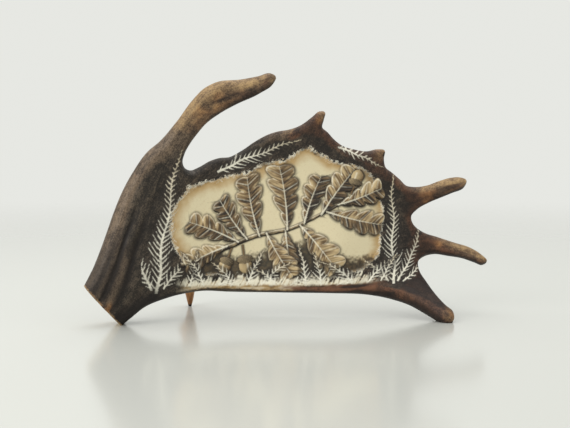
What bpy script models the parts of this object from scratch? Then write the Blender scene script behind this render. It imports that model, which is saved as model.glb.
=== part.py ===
"""Carved deer antler that stands on its sawn beam end, its lower tine and its rear tine.

The antler is one flat, branching growth. Its outline is drawn as seen from the front, and its middle surface
bends forwards and backwards through a few depth stations. Both faces swell from that surface: round on the
beam and the tines, flat on the palm. Thin slits part it at its main forks.

Lengths are in millimetres until the last step, which makes metres. X is to the right, +Z is up, and the carved
face looks towards -Y.
"""
import math

import bmesh
import bpy
import numpy as np
from mathutils import Vector
from mathutils.geometry import delaunay_2d_cdt

MM = 0.001

# The point of the drawing that stands over the finished part's origin, as (x, depth)
ORIGIN = (7.57, 38.67)

# Outline, clockwise from the upper corner of the saw cut, as (x, z)
BEAM_OUTER_EDGE = [(-204, 42), (-197, 57), (-189.5, 77), (-183, 97), (-176.5, 117), (-168.5, 137.5),
                   (-157.5, 158), (-142.5, 179)]
BROW_TINE_OUTER_EDGE = [(-130.5, 189), (-112.5, 209.5), (-96.5, 230), (-83.5, 242.5), (-70, 249),
                        (-45.5, 251.5), (-27.5, 255), (-15, 258)]
BROW_TINE_TIP = [(-10, 255.5), (-12.5, 250)]
BROW_TINE_INNER_EDGE = [(-27, 240), (-49.5, 230), (-68.5, 220), (-82.5, 210), (-92, 199.5), (-100, 189),
                        (-106, 178.5), (-108.5, 168)]
FIRST_FORK = [(-106, 162), (-100.5, 159.5), (-92, 162.5)]
PALM_TOP_EDGE = [(-79.5, 169.5), (-70, 172.5), (-60, 173.5), (-48, 179.5), (-33.5, 189), (-22, 195.5),
                 (-10.5, 199.5), (5.5, 202.5)]
FIRST_POINT = [(16, 206.5), (28.5, 215), (37, 221), (41.5, 221), (40.5, 214), (39, 205.5)]
PALM_SHOULDER = [(45, 200), (52.5, 192), (61.5, 185.5), (74.5, 181.5), (87.5, 179.5)]
SECOND_POINT = [(99.5, 181.5), (107, 180.5), (106.5, 172), (109, 162)]
SHOULDER_TO_UPPER_TINE = [(116, 156.5), (125, 149), (134, 141)]
UPPER_TINE = [(142, 139.5), (155, 141), (167.5, 146), (180, 150), (189.5, 150.5), (197, 147.5), (195, 141),
              (182.5, 134.5), (170.5, 129), (157.5, 123), (145.5, 115.5)]
UPPER_FORK = [(139.5, 108.5), (141, 100.5)]
MIDDLE_TINE = [(145.5, 95), (154.5, 89), (170.5, 83.5), (188, 78), (204.5, 73), (216, 66), (222, 59), (216, 55.5),
               (208, 58), (196.5, 61.5), (181, 63.5), (165, 64.5), (155, 61.5)]
LOWER_FORK = [(148, 55.5), (148.5, 46)]
LOWER_TINE = [(154.5, 35.5), (163.5, 22.5), (171.5, 14), (177, 9.5), (177.5, 4.5), (172, 0), (164, 1),
              (149, 8.5), (132, 17)]
PALM_LOWER_EDGE = [(117, 21), (92.5, 24.5), (48.5, 26.5), (-5.5, 27), (-62, 28), (-91.5, 29.5), (-110.5, 27.5)]
BEAM_LOWER_EDGE = [(-130.5, 23.5), (-149, 17), (-161, 8.5), (-171, 0.5)]
# The beam runs on past the saw cut, so that its thickness is full there
BEFORE_SAWING = [(-186, -22), (-206, -18), (-219, 4), (-214, 24)]
OUTLINE = (BEAM_OUTER_EDGE + BROW_TINE_OUTER_EDGE + BROW_TINE_TIP + BROW_TINE_INNER_EDGE + FIRST_FORK
           + PALM_TOP_EDGE + FIRST_POINT + PALM_SHOULDER + SECOND_POINT + SHOULDER_TO_UPPER_TINE + UPPER_TINE
           + UPPER_FORK + MIDDLE_TINE + LOWER_FORK + LOWER_TINE + PALM_LOWER_EDGE + BEAM_LOWER_EDGE
           + BEFORE_SAWING)

# Where the middle surface lies, and how thick the antler is: (x, z, depth behind the front feet, half thickness)
STATIONS = np.array([
    (-203, 41, -32, 17), (-188, 20, -16, 18), (-173, 0, 0, 17), (-180, 97, -14, 15.5), (-159, 145, -3, 14),
    (-141, 21, 8, 14), (-135, 80, 10, 13), (-123, 165, 8, 12.5), (-88, 222, -4, 11.5), (-50, 241, -14, 10),
    (-13, 256, -22, 8), (-100, 29, 28, 10), (5, 27, 35, 8), (82, 26, 36, 8), (46, 56, 33, 6.5),
    (54, 75, 32, 6.5), (-91, 128, 24, 7.5), (-16, 116, 32, 6), (-48, 179, 25, 6), (39, 221, 22, 6.5),
    (107, 181, 42, 6.5), (131, 66, 66, 7.5), (139, 106, 70, 8), (134, 131, 62, 8), (175, 140, 56, 8.5),
    (197, 147, 48, 8), (149, 73, 74, 8.5), (149, 57, 75, 9), (190, 75, 70, 8.5), (222, 60, 56, 8.5),
    (150, 25, 36, 10), (172, 4, 2, 9.5)], float)
STATION_BLUR = 60.0
ROUNDNESS = 2.2

# The saw cut runs from corner to corner of the beam end and faces down to the left
SAW_UPPER_CORNER = (-204.0, 42.2)
SAW_LOWER_CORNER = (-173.9, -0.5)
SAW_LEAN = 0.16
TABLE = 0.0

# Fork slits: name, start and end of the slit on the outline, as (x, z)
FORKS = {
    "brow_fork": ((-106.5, 166.0), (-134.0, 186.5)),
    "palm_fork": ((-103.0, 160.5), (-121.0, 25.5)),
    "upper_fork": ((139.5, 140.0), (141.0, 110.5)),
    "middle_fork": ((141.5, 100.0), (149.0, 57.0)),
    "lower_fork": ((148.8, 47.0), (127.0, 18.5))}
SLIT = 0.3
SLIT_OVERSHOOT = 3.5
SLIT_REACH = 45.0
# A point inside each limb, by which the parted solids get their names
LIMBS = {"beam": (-165, 90), "brow_tine": (-75, 230), "palm": (0, 110), "upper_tine": (168, 137),
         "middle_tine": (185, 72), "lower_tine": (155, 22)}

# The rear tine grows from the back of the palm and bends down to a foot: (x, depth, z, radius)
REAR_TINE_PATH = [(-111, 111, 0, 1.7), (-111, 111, 4.5, 2.9), (-111, 111, 13, 5), (-111, 110, 24, 7.2),
                  (-110, 107, 36, 9), (-107.5, 100, 48, 10.2), (-103.5, 88, 60, 11), (-98.5, 74, 69, 12),
                  (-95, 61, 74.5, 13.2), (-93, 50, 77, 15)]
REAR_TINE_ROOT = (-92.0, 79.0)
REAR_TINE_ROOT_RADIUS = 20.0
REAR_TINE_GAP = 0.5
REAR_TINE_SIDES = 20
ROOT_RING_SHARES = (1.0, 0.66, 0.33)
KNOB_HEIGHT = 27.0
KNOB_REACH = 6.5
KNOB_SPREAD = 4.5

# The carved field lies a little below the rim that runs round it
FIELD_CENTRE = (0.0, 100.0)
FIELD_HALF_SIZE = (112.0, 68.0)
FIELD_DEPTH = 1.2
FIELD_EDGE = 9.0

# Fineness of the faceted faces
SHARP_ANGLE = math.radians(50)
FRONT_SPACING = 5.4
BACK_SPACING = 8.0
FINEST_EDGE_STEP = 2.6
COARSEST_EDGE_STEP = 6.5
EDGE_STEP_PER_RADIUS = 0.5
RIM_RINGS = (0.8, 2.9)
# Share of its offset, or of the grid's spacing, that a point keeps clear of the edge or the last ring
RING_CLEARANCE = 0.93
GRID_CLEARANCE = 0.55
# Steps of the dense outlines that distances and edge points are worked out from
LOOP_STEP = 1.5
EDGE_LOOP_STEP = 0.4


def smooth_loop(knots, step):
    """Closed curve through the knots: cubic pieces whose slopes at a knot weigh its two chords by length."""
    points = np.array(knots, float)
    ahead = np.roll(points, -1, axis=0) - points
    length = np.linalg.norm(ahead, axis=1)[:, None]
    behind = np.roll(ahead, 1, axis=0)
    behind_length = np.roll(length, 1, axis=0)
    slope = (ahead / length * behind_length + behind / behind_length * length) / (length + behind_length)
    next_slope = np.roll(slope, -1, axis=0)
    pieces = []
    for point, chord, size, start, end in zip(points, ahead, length[:, 0], slope, next_slope):
        t = np.arange(0.0, 1.0, step / size)[:, None]
        pieces.append(point + chord * (3 * t**2 - 2 * t**3)
                      + size * (start * (t**3 - 2 * t**2 + t) + end * (t**3 - t**2)))
    return np.concatenate(pieces)


def bend_radius(loop):
    """Radius of the circle through each point of a loop and two points a few steps away."""
    reach = 4
    back = loop - np.roll(loop, reach, axis=0)
    ahead = np.roll(loop, -reach, axis=0) - loop
    cross = np.abs(back[:, 0] * ahead[:, 1] - back[:, 1] * ahead[:, 0])
    sides = np.linalg.norm(back, axis=1) * np.linalg.norm(ahead, axis=1) * np.linalg.norm(back + ahead, axis=1)
    return sides / np.maximum(2 * cross, 1e-6)


def spread_points(loop, finest, coarsest, share):
    """Points along a dense loop, closer where it bends: a step is a share of the bend's radius."""
    step = np.clip(share * bend_radius(loop), finest, coarsest)
    for _ in range(12):
        step = (np.roll(step, 1) + step + np.roll(step, -1)) / 3
    length = np.linalg.norm(np.roll(loop, -1, axis=0) - loop, axis=1)
    travelled = np.concatenate([[0.0], np.cumsum(length / step)])
    count = int(round(travelled[-1]))
    at = np.arange(count) * travelled[-1] / count
    closed = np.vstack([loop, loop[:1]])
    return np.stack([np.interp(at, travelled, closed[:, k]) for k in range(2)], axis=1)


def thin_plate(places, values):
    """Smoothest sheet through the values: a sum of r^2 log r terms and a plane."""
    def terms(points):
        r = np.linalg.norm(points[:, None] - places[None], axis=2)
        return r * r * np.log(np.maximum(r, 1e-9))

    count = len(places)
    system = np.zeros((count + 3, count + 3))
    system[:count, :count] = terms(places)
    system[:count, count] = 1
    system[:count, count + 1:] = places
    system[count:, :count] = system[:count, count:].T
    weights = np.linalg.solve(system, np.concatenate([values, np.zeros(3)]))
    return lambda points: terms(points) @ weights[:count] + weights[count] + points @ weights[count + 1:]


MIDDLE = thin_plate(STATIONS[:, :2], STATIONS[:, 2])


def middle_and_normal(points):
    """Points of the middle surface, and its unit normals towards the front."""
    nudge = 0.5
    depth = MIDDLE(points)
    slope_x = (MIDDLE(points + (nudge, 0)) - MIDDLE(points - (nudge, 0))) / (2 * nudge)
    slope_z = (MIDDLE(points + (0, nudge)) - MIDDLE(points - (0, nudge))) / (2 * nudge)
    normal = np.stack([slope_x, -np.ones(len(points)), slope_z], axis=1)
    normal /= np.linalg.norm(normal, axis=1)[:, None]
    return np.stack([points[:, 0], depth, points[:, 1]], axis=1), normal


def edge_measures(points, loop):
    """Smoothed depth inside the outline, true distance to it, and whether each point is inside.

    The smoothed depth is 2 over the sum, along the outline, of tan(a/2) (1/r + 1/r'), where a is the angle that
    a short side takes up and r, r' are the distances to its ends. It equals the distance close to an edge.
    """
    to_start = loop[None] - points[:, None]
    to_end = np.roll(to_start, -1, axis=1)
    r = np.maximum(np.linalg.norm(to_start, axis=2), 1e-9)
    r_end = np.roll(r, -1, axis=1)
    cross = to_start[..., 0] * to_end[..., 1] - to_start[..., 1] * to_end[..., 0]
    dot = (to_start * to_end).sum(axis=2)
    half_tangent = cross / np.maximum(r * r_end + dot, 1e-9)
    turn = 2 * np.arctan2(cross, r * r_end + dot).sum(axis=1)
    total = np.abs((half_tangent * (1 / r + 1 / r_end)).sum(axis=1))
    return 2 / np.maximum(total, 1e-9), r.min(axis=1), np.abs(turn) > math.pi


def half_thickness(points, smoothed_depth):
    """Half the antler's thickness: an arc near the edge that levels off at the stations' own half thickness."""
    spread = ((points[:, None] - STATIONS[None, :, :2])**2).sum(axis=2) + STATION_BLUR
    weight = spread**-2
    full = (weight * STATIONS[:, 3]).sum(axis=1) / weight.sum(axis=1)
    arc = ROUNDNESS * full * smoothed_depth
    return np.sqrt(arc * full**2 / (arc**3 + full**6) ** (1 / 3))


def field_hollow(points):
    """How far the carved field lies below its rim: a rounded rectangle with a soft edge."""
    across = np.abs(points - FIELD_CENTRE) / FIELD_HALF_SIZE
    outside = ((across**3).sum(axis=1)**(1 / 3) - 1) * FIELD_HALF_SIZE[1]
    share = np.clip(0.5 - outside / FIELD_EDGE, 0, 1)
    return FIELD_DEPTH * share * share * (3 - 2 * share)


def grid_points(spacing):
    """Points on a triangular grid over the whole outline."""
    low = np.min(OUTLINE, axis=0)
    high = np.max(OUTLINE, axis=0)
    row_step = spacing * math.sqrt(3) / 2
    rows = np.arange(low[1], high[1], row_step)
    columns = np.arange(low[0], high[0], spacing)
    x, z = np.meshgrid(columns, rows)
    x = x + (np.arange(len(rows)) % 2)[:, None] * spacing / 2
    return np.stack([x.ravel(), z.ravel()], axis=1)


def inner_points(spacing, edge, loop):
    """Rings just inside the edge, which round it, and a grid over the rest."""
    along = np.roll(edge, -1, axis=0) - np.roll(edge, 1, axis=0)
    inward = np.stack([along[:, 1], -along[:, 0]], axis=1) / np.linalg.norm(along, axis=1)[:, None]
    kept = []
    for offset in RIM_RINGS:
        ring = edge + inward * offset
        distance, inside = edge_measures(ring, loop)[1:]
        kept.append(ring[inside & (distance > RING_CLEARANCE * offset)])
    grid = grid_points(spacing)
    distance, inside = edge_measures(grid, loop)[1:]
    kept.append(grid[inside & (distance > RIM_RINGS[-1] + GRID_CLEARANCE * spacing)])
    return np.concatenate(kept)


def face_sheet(edge, inner):
    """Triangles that join the edge loop and the points inside it, and which point each corner stands for."""
    points = np.concatenate([edge, inner])
    result = delaunay_2d_cdt([Vector(p) for p in points], [], [list(range(len(edge)))], 1, 1e-5)
    return result[2], [ids[0] for ids in result[3]]


def grow_antler():
    """Whole antler in one closed mesh: a front and a back sheet that share their edge points."""
    loop = smooth_loop(OUTLINE, LOOP_STEP)
    dense = smooth_loop(OUTLINE, EDGE_LOOP_STEP)
    edge = spread_points(dense, FINEST_EDGE_STEP, COARSEST_EDGE_STEP, EDGE_STEP_PER_RADIUS)
    body = bmesh.new()
    middle, normal = middle_and_normal(edge)
    edge_verts = [body.verts.new(p) for p in middle]
    for side, spacing in ((1, FRONT_SPACING), (-1, BACK_SPACING)):
        inner = inner_points(spacing, edge, loop)
        middle, normal = middle_and_normal(inner)
        swell = half_thickness(inner, edge_measures(inner, loop)[0])
        if side == 1:
            swell = swell - field_hollow(inner)
        inner_verts = [body.verts.new(p) for p in middle + side * normal * swell[:, None]]
        faces, sources = face_sheet(edge, inner)
        verts = [(edge_verts + inner_verts)[k] for k in sources]
        for face in faces:
            body.faces.new([verts[k] for k in (face if side == 1 else face[::-1])])
    return body


def saw_off(body, point, normal):
    """Cut away what lies on the normal's side of a plane, and close the cut with a flat face."""
    geometry = body.verts[:] + body.edges[:] + body.faces[:]
    cut = bmesh.ops.bisect_plane(body, geom=geometry, dist=1e-4, plane_co=point, plane_no=normal, clear_outer=True)
    rim = [item for item in cut["geom_cut"] if isinstance(item, bmesh.types.BMEdge)]
    bmesh.ops.edgeloop_fill(body, edges=rim)


def mesh_object(name, body):
    """New object from a bmesh, with its faces turned outwards."""
    bmesh.ops.recalc_face_normals(body, faces=body.faces[:])
    mesh = bpy.data.meshes.new(name)
    body.to_mesh(mesh)
    body.free()
    thing = bpy.data.objects.new(name, mesh)
    bpy.context.scene.collection.objects.link(thing)
    return thing


def fork_cutter():
    """Thin blades, one across each fork, square to the middle surface there."""
    body = bmesh.new()
    for start, end in FORKS.values():
        start, end = np.array(start), np.array(end)
        (middle,), (normal,) = middle_and_normal((start + end)[None] / 2)
        depths = MIDDLE(np.stack([start, end]))
        along = Vector((end[0] - start[0], depths[1] - depths[0], end[1] - start[1]))
        half_length = along.length / 2 + SLIT_OVERSHOOT
        along.normalize()
        through = Vector(normal)
        through = (through - along * through.dot(along)).normalized()
        across = along.cross(through)
        corners = []
        for a in (-1, 1):
            for b in (-1, 1):
                for c in (-1, 1):
                    corners.append(body.verts.new(Vector(middle) + along * a * half_length
                                                  + through * b * SLIT_REACH + across * c * SLIT / 2))
        for quad in ((0, 1, 3, 2), (4, 6, 7, 5), (0, 4, 5, 1), (2, 3, 7, 6), (0, 2, 6, 4), (1, 5, 7, 3)):
            body.faces.new([corners[k] for k in quad])
    cutter = mesh_object("fork_cutter", body)
    cutter.hide_render = True
    cutter.display_type = "WIRE"
    return cutter


def part_at_forks(antler):
    """The antler without the slits, as one bmesh for each limb that is left."""
    cutter = fork_cutter()
    slits = antler.modifiers.new("fork_slits", "BOOLEAN")
    slits.operation = "DIFFERENCE"
    slits.solver = "EXACT"
    slits.object = cutter
    evaluated = antler.evaluated_get(bpy.context.evaluated_depsgraph_get())
    mesh = bpy.data.meshes.new_from_object(evaluated)
    whole = bmesh.new()
    whole.from_mesh(mesh)
    for leftover in (antler, cutter):
        bpy.data.objects.remove(leftover)
    bpy.data.meshes.remove(mesh)
    limbs = []
    waiting = set(whole.faces)
    while waiting:
        group = {waiting.pop()}
        front = list(group)
        while front:
            for edge in front.pop().edges:
                for face in edge.link_faces:
                    if face in waiting:
                        waiting.remove(face)
                        group.add(face)
                        front.append(face)
        limb = bmesh.new()
        copies = {}
        for face in group:
            for vert in face.verts:
                if vert not in copies:
                    copies[vert] = limb.verts.new(vert.co)
            limb.faces.new([copies[vert] for vert in face.verts])
        limbs.append(limb)
    whole.free()
    return limbs


def limb_name(limb):
    """The name whose point lies nearest to the limb's own middle."""
    middle = np.mean([tuple(vert.co) for vert in limb.verts], axis=0)
    return min(LIMBS, key=lambda name: math.hypot(middle[0] - LIMBS[name][0], middle[2] - LIMBS[name][1]))


def palm_back(points, loop):
    """Points just behind the back face of the palm."""
    middle, normal = middle_and_normal(points)
    swell = half_thickness(points, edge_measures(points, loop)[0])
    return middle - normal * (swell + REAR_TINE_GAP)[:, None]


def rear_tine():
    """Tube along its path, whose root fits against the back of the palm and whose foot is flat on the table."""
    loop = smooth_loop(OUTLINE, LOOP_STEP)
    path = np.array(REAR_TINE_PATH, float)
    angle = np.arange(REAR_TINE_SIDES) * 2 * math.pi / REAR_TINE_SIDES
    root_circle = np.stack([np.cos(angle), -np.sin(angle)], axis=1)
    root_rings = [palm_back(np.array(REAR_TINE_ROOT) + root_circle * REAR_TINE_ROOT_RADIUS * share, loop)
                  for share in ROOT_RING_SHARES]
    root_tip = palm_back(np.array([REAR_TINE_ROOT]), loop)[0]
    fine = []
    for k in range(len(path) - 1):
        before, start, end, after = (path[max(k - 1, 0)], path[k], path[k + 1], path[min(k + 2, len(path) - 1)])
        for t in (0.0, 0.5):
            fine.append(0.5 * (2 * start + (end - before) * t + (2 * before - 5 * start + 4 * end - after) * t**2
                               + (3 * start - before - 3 * end + after) * t**3))
    fine.append(path[-1])
    fine = np.array(fine)
    centre = fine[:, :3]
    heading = np.gradient(centre, axis=0)
    heading /= np.linalg.norm(heading, axis=1)[:, None]
    heading[0] = (0, 0, 1)
    side = np.array([1.0, 0.0, 0.0]) - heading * heading[:, :1]
    side /= np.linalg.norm(side, axis=1)[:, None]
    other = np.cross(heading, side)
    body = bmesh.new()
    rings = []
    for middle, radius, u, v in zip(centre, fine[:, 3], side, other):
        ring = middle + radius * (np.cos(angle)[:, None] * u - np.sin(angle)[:, None] * v)
        lump = np.exp(-((ring[:, 2] - KNOB_HEIGHT)**2 + (ring[:, 1] - middle[1])**2) / (2 * KNOB_SPREAD**2))
        ring[:, 0] -= KNOB_REACH * lump * (ring[:, 0] < middle[0] - radius / 2)
        rings.append(ring)
    rings += root_rings
    verts = [[body.verts.new(p) for p in ring] for ring in rings]
    count = REAR_TINE_SIDES
    for lower, upper in zip(verts, verts[1:]):
        for k in range(count):
            body.faces.new([lower[k], lower[(k + 1) % count], upper[(k + 1) % count], upper[k]])
    body.faces.new(verts[0])
    hub = body.verts.new(root_tip)
    for k in range(count):
        body.faces.new([verts[-1][k], verts[-1][(k + 1) % count], hub])
    return body


def horn_material(name, colour, roughness):
    """Plain antler finish for one node."""
    material = bpy.data.materials.new(name)
    material.use_nodes = True
    shader = material.node_tree.nodes["Principled BSDF"]
    shader.inputs["Base Color"].default_value = (*colour, 1)
    shader.inputs["Roughness"].default_value = roughness
    shader.inputs["Metallic"].default_value = 0
    return material


# Colour and roughness of each node
FINISHES = {
    "beam": ((0.11, 0.08, 0.06), 0.55),
    "brow_tine": ((0.20, 0.14, 0.09), 0.5),
    "palm": ((0.45, 0.35, 0.22), 0.5),
    "upper_tine": ((0.14, 0.08, 0.05), 0.5),
    "middle_tine": ((0.12, 0.065, 0.04), 0.5),
    "lower_tine": ((0.10, 0.055, 0.035), 0.5),
    "rear_tine": ((0.32, 0.15, 0.05), 0.5)}


def main():
    """Grow the antler, saw and part it, add the rear tine, and set the whole over its origin."""
    for thing in list(bpy.data.objects):
        bpy.data.objects.remove(thing)
    body = grow_antler()
    upper, lower = np.array(SAW_UPPER_CORNER), np.array(SAW_LOWER_CORNER)
    depths = MIDDLE(np.stack([upper, lower]))
    along = Vector((lower[0] - upper[0], depths[1] - depths[0], lower[1] - upper[1]))
    sight = Vector((-SAW_LEAN, 1, -SAW_LEAN / 2))
    outward = along.cross(sight).normalized()
    if outward.x > 0:
        outward.negate()
    saw_off(body, Vector((upper[0], depths[0], upper[1])), outward)
    saw_off(body, Vector((0, 0, TABLE)), Vector((0, 0, -1)))
    antler = mesh_object("antler", body)
    nodes = {}
    for limb in part_at_forks(antler):
        name = limb_name(limb)
        nodes[name] = mesh_object(name, limb)
    nodes["rear_tine"] = mesh_object("rear_tine", rear_tine())
    origin = Vector((*ORIGIN, TABLE))
    for name, thing in nodes.items():
        for vert in thing.data.vertices:
            vert.co = (vert.co - origin) * MM
        thing.data.materials.append(horn_material(name, *FINISHES[name]))
        thing.data.shade_smooth()
        thing.data.set_sharp_from_angle(angle=SHARP_ANGLE)


main()
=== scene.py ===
"""Looks of the carved deer antler: grown skin, low relief carving, sawn bone, rear tine and stage.

Run as a script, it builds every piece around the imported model. Each piece is a surface worked out with numpy.
Drawing lengths are in millimetres, x to the right and z up, and the finished meshes are in metres.
"""

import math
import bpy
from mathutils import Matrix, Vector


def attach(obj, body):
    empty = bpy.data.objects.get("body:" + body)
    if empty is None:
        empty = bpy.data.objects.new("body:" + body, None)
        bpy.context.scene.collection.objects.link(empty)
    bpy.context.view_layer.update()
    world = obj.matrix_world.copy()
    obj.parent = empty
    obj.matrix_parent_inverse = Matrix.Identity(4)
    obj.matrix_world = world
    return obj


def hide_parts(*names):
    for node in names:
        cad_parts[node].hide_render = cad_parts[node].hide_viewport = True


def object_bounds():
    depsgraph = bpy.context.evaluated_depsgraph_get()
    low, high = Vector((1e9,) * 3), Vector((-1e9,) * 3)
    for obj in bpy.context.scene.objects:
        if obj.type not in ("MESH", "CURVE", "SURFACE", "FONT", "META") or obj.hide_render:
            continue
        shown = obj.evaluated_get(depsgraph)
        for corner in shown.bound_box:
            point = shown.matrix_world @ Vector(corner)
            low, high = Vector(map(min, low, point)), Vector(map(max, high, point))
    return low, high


bl_info = {
    "name": "Carved deer antler",
    "version": (1, 0, 0),
    "blender": (4, 5, 0),
    "location": "View3D > Sidebar > Antler",
    "description": "Grown skin, low relief carving, sawn bone and stage of a carved deer antler",
    "category": "Add Mesh",
}

import bmesh
import bpy
import numpy as np
from bpy.props import FloatProperty, FloatVectorProperty, PointerProperty
from mathutils import Vector
from mathutils.geometry import delaunay_2d_cdt

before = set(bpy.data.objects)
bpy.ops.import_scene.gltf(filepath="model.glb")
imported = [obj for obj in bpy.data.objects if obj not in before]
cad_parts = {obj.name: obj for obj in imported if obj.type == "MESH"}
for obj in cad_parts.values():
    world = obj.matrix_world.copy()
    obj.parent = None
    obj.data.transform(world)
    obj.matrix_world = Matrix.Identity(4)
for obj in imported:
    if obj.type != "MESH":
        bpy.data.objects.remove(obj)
CAD_BOX = [list(corner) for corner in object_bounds()]

MM = 0.001
# The point of the drawing that stands over the part's origin, as (x, depth, height)
ORIGIN = np.array([7.57, 38.67, 0.0])

# Outline, clockwise from the upper corner of the saw cut, as (x, z)
BEAM_OUTER_EDGE = [(-204, 42), (-197, 57), (-189.5, 77), (-183, 97), (-176.5, 117), (-168.5, 137.5),
                   (-157.5, 158), (-142.5, 179)]
BROW_TINE_OUTER_EDGE = [(-130.5, 189), (-112.5, 209.5), (-96.5, 230), (-83.5, 242.5), (-70, 249),
                        (-45.5, 251.5), (-27.5, 255), (-15, 258)]
BROW_TINE_INNER_EDGE = [(-10, 255.5), (-12.5, 250), (-27, 240), (-49.5, 230), (-68.5, 220), (-82.5, 210),
                        (-92, 199.5), (-100, 189), (-106, 178.5), (-108.5, 168), (-106, 162), (-100.5, 159.5)]
PALM_TOP_EDGE = [(-92, 162.5), (-79.5, 169.5), (-70, 172.5), (-60, 173.5), (-48, 179.5), (-33.5, 189),
                 (-22, 195.5), (-10.5, 199.5), (5.5, 202.5)]
FIRST_POINT = [(16, 206.5), (28.5, 215), (37, 221), (41.5, 221), (40.5, 214), (39, 205.5)]
PALM_SHOULDER = [(45, 200), (52.5, 192), (61.5, 185.5), (74.5, 181.5), (87.5, 179.5)]
SECOND_POINT = [(99.5, 181.5), (107, 180.5), (106.5, 172), (109, 162), (116, 156.5), (125, 149), (134, 141)]
UPPER_TINE = [(142, 139.5), (155, 141), (167.5, 146), (180, 150), (189.5, 150.5), (197, 147.5), (195, 141),
              (182.5, 134.5), (170.5, 129), (157.5, 123), (145.5, 115.5), (139.5, 108.5), (141, 100.5)]
MIDDLE_TINE = [(145.5, 95), (154.5, 89), (170.5, 83.5), (188, 78), (204.5, 73), (216, 66), (222, 59),
               (216, 55.5), (208, 58), (196.5, 61.5), (181, 63.5), (165, 64.5), (155, 61.5), (148, 55.5),
               (148.5, 46)]
LOWER_TINE = [(154.5, 35.5), (163.5, 22.5), (171.5, 14), (177, 9.5), (177.5, 4.5), (172, 0), (164, 1),
              (149, 8.5), (132, 17)]
LOWER_EDGE = [(117, 21), (92.5, 24.5), (48.5, 26.5), (-5.5, 27), (-62, 28), (-91.5, 29.5), (-110.5, 27.5),
              (-130.5, 23.5), (-149, 17), (-161, 8.5), (-171, 0.5)]
# The beam runs on past the saw cut, so that its thickness is full there
BEFORE_SAWING = [(-186, -22), (-206, -18), (-219, 4), (-214, 24)]
OUTLINE = (BEAM_OUTER_EDGE + BROW_TINE_OUTER_EDGE + BROW_TINE_INNER_EDGE + PALM_TOP_EDGE + FIRST_POINT
           + PALM_SHOULDER + SECOND_POINT + UPPER_TINE + MIDDLE_TINE + LOWER_TINE + LOWER_EDGE
           + BEFORE_SAWING)
OUTLINE_STEP = 0.25

# Stations: x, z, depth of the middle surface behind the front feet, and half the antler's thickness
STATIONS = np.array([
    (-203, 41, -32, 17), (-188, 20, -16, 18), (-173, 0, 0, 17), (-180, 97, -14, 15.5), (-159, 145, -3, 14),
    (-141, 21, 8, 14), (-135, 80, 10, 13), (-123, 165, 8, 12.5), (-88, 222, -4, 11.5), (-50, 241, -14, 10),
    (-13, 256, -22, 8), (-100, 29, 28, 10), (5, 27, 35, 8), (82, 26, 36, 8), (46, 56, 33, 6.5),
    (54, 75, 32, 6.5), (-91, 128, 24, 7.5), (-16, 116, 32, 6), (-48, 179, 25, 6), (39, 221, 22, 6.5),
    (107, 181, 42, 6.5), (131, 66, 66, 7.5), (139, 106, 70, 8), (134, 131, 62, 8), (175, 140, 56, 8.5),
    (197, 147, 48, 8), (149, 73, 74, 8.5), (149, 57, 75, 9), (190, 75, 70, 8.5), (222, 60, 56, 8.5),
    (150, 25, 36, 10), (172, 4, 2, 9.5)], float)
ROUNDNESS = 2.2
# Squared distance within which stations, and places on a growth line, count about the same
NEAR = 60.0

# The saw cut runs from corner to corner of the beam end, as (x, z), and faces down to the left
SAW_CORNERS = np.array([(-204.0, 42.2), (-173.9, -0.5)])
SAW_LEAN = 0.16
SAW_RINGS = 26
# Saw marks: height, radians to a millimetre, radians of sway along the cut, and its radians to a millimetre
SAW_MARK = (0.07, 2.6, 0.5, 0.23)

# Forks: where each line between two limbs starts and ends on the outline, as (x, z)
FORKS = {
    "brow": ((-106.5, 166.0), (-134.0, 186.5)),
    "palm": ((-103.0, 160.5), (-121.0, 25.5)),
    "upper": ((139.5, 140.0), (141.0, 110.5)),
    "middle": ((141.5, 100.0), (149.0, 57.0)),
    "lower": ((148.8, 47.0), (127.0, 18.5))}
# Fork lines met clockwise round each limb: 1 where one is followed from its start, -1 from its end
LIMB_FORKS = {
    "beam": [("brow", -1), ("palm", 1)],
    "brow_tine": [("brow", 1)],
    "palm": [("upper", 1), ("middle", 1), ("lower", 1), ("palm", -1)],
    "upper_tine": [("upper", -1)],
    "middle_tine": [("middle", -1)],
    "lower_tine": [("lower", -1)]}
# Finished pieces: the limb that each stands for, and its material slot
PIECES = {
    "beam_skin": ("beam", "grey_brown_antler"), "brow_tine_skin": ("brow_tine", "grey_brown_antler"),
    "carved_palm": ("palm", "carved_front"), "upper_tine_skin": ("upper_tine", "dark_red_brown_antler"),
    "middle_tine_skin": ("middle_tine", "dark_red_brown_antler"),
    "lower_tine_skin": ("lower_tine", "dark_red_brown_antler")}

# Lines along which the antler grew, from the beam out to each tip, as (x, z)
GROWTH_LINES = [
    [(-196, 12), (-168, 66), (-152, 112), (-137, 152), (-118, 183), (-98, 211), (-78, 232), (-45, 242),
     (-12, 254)],
    [(-176, 24), (-140, 66), (-90, 105), (-20, 148), (25, 190), (40, 219)],
    [(-172, 20), (-130, 50), (-60, 88), (40, 124), (90, 156), (105, 178)],
    [(-168, 18), (-125, 42), (-60, 66), (60, 104), (125, 124), (160, 132), (195, 146)],
    [(-165, 16), (-120, 38), (-40, 54), (60, 72), (140, 78), (180, 71), (220, 60)],
    [(-162, 14), (-115, 34), (-20, 37), (80, 33), (106, 28), (124, 22.5), (140, 17), (156, 10.5), (174, 1)]]
# Tips of the brow tine, the two small points, and the upper, middle and lower tine
TIPS = [(-11, 254), (40, 220), (106, 179), (197, 146), (221, 60), (176, 4)]

# Spacing of the skin's points, by limb and side where it isn't the usual one
SPACING = 1.05
SPACINGS = {("palm", 1): 0.82, ("palm", -1): 1.6}
# Keeps the grid's points off the round numbers of the outline
GRID_SHIFT = 0.013
EDGE_STEPS = (0.55, 1.15)
EDGE_STEP_PER_RADIUS = 0.16
RIM_RINGS = (0.05, 0.25, 0.7, 1.4, 2.3)
FORK_STEP = 1.0

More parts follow.
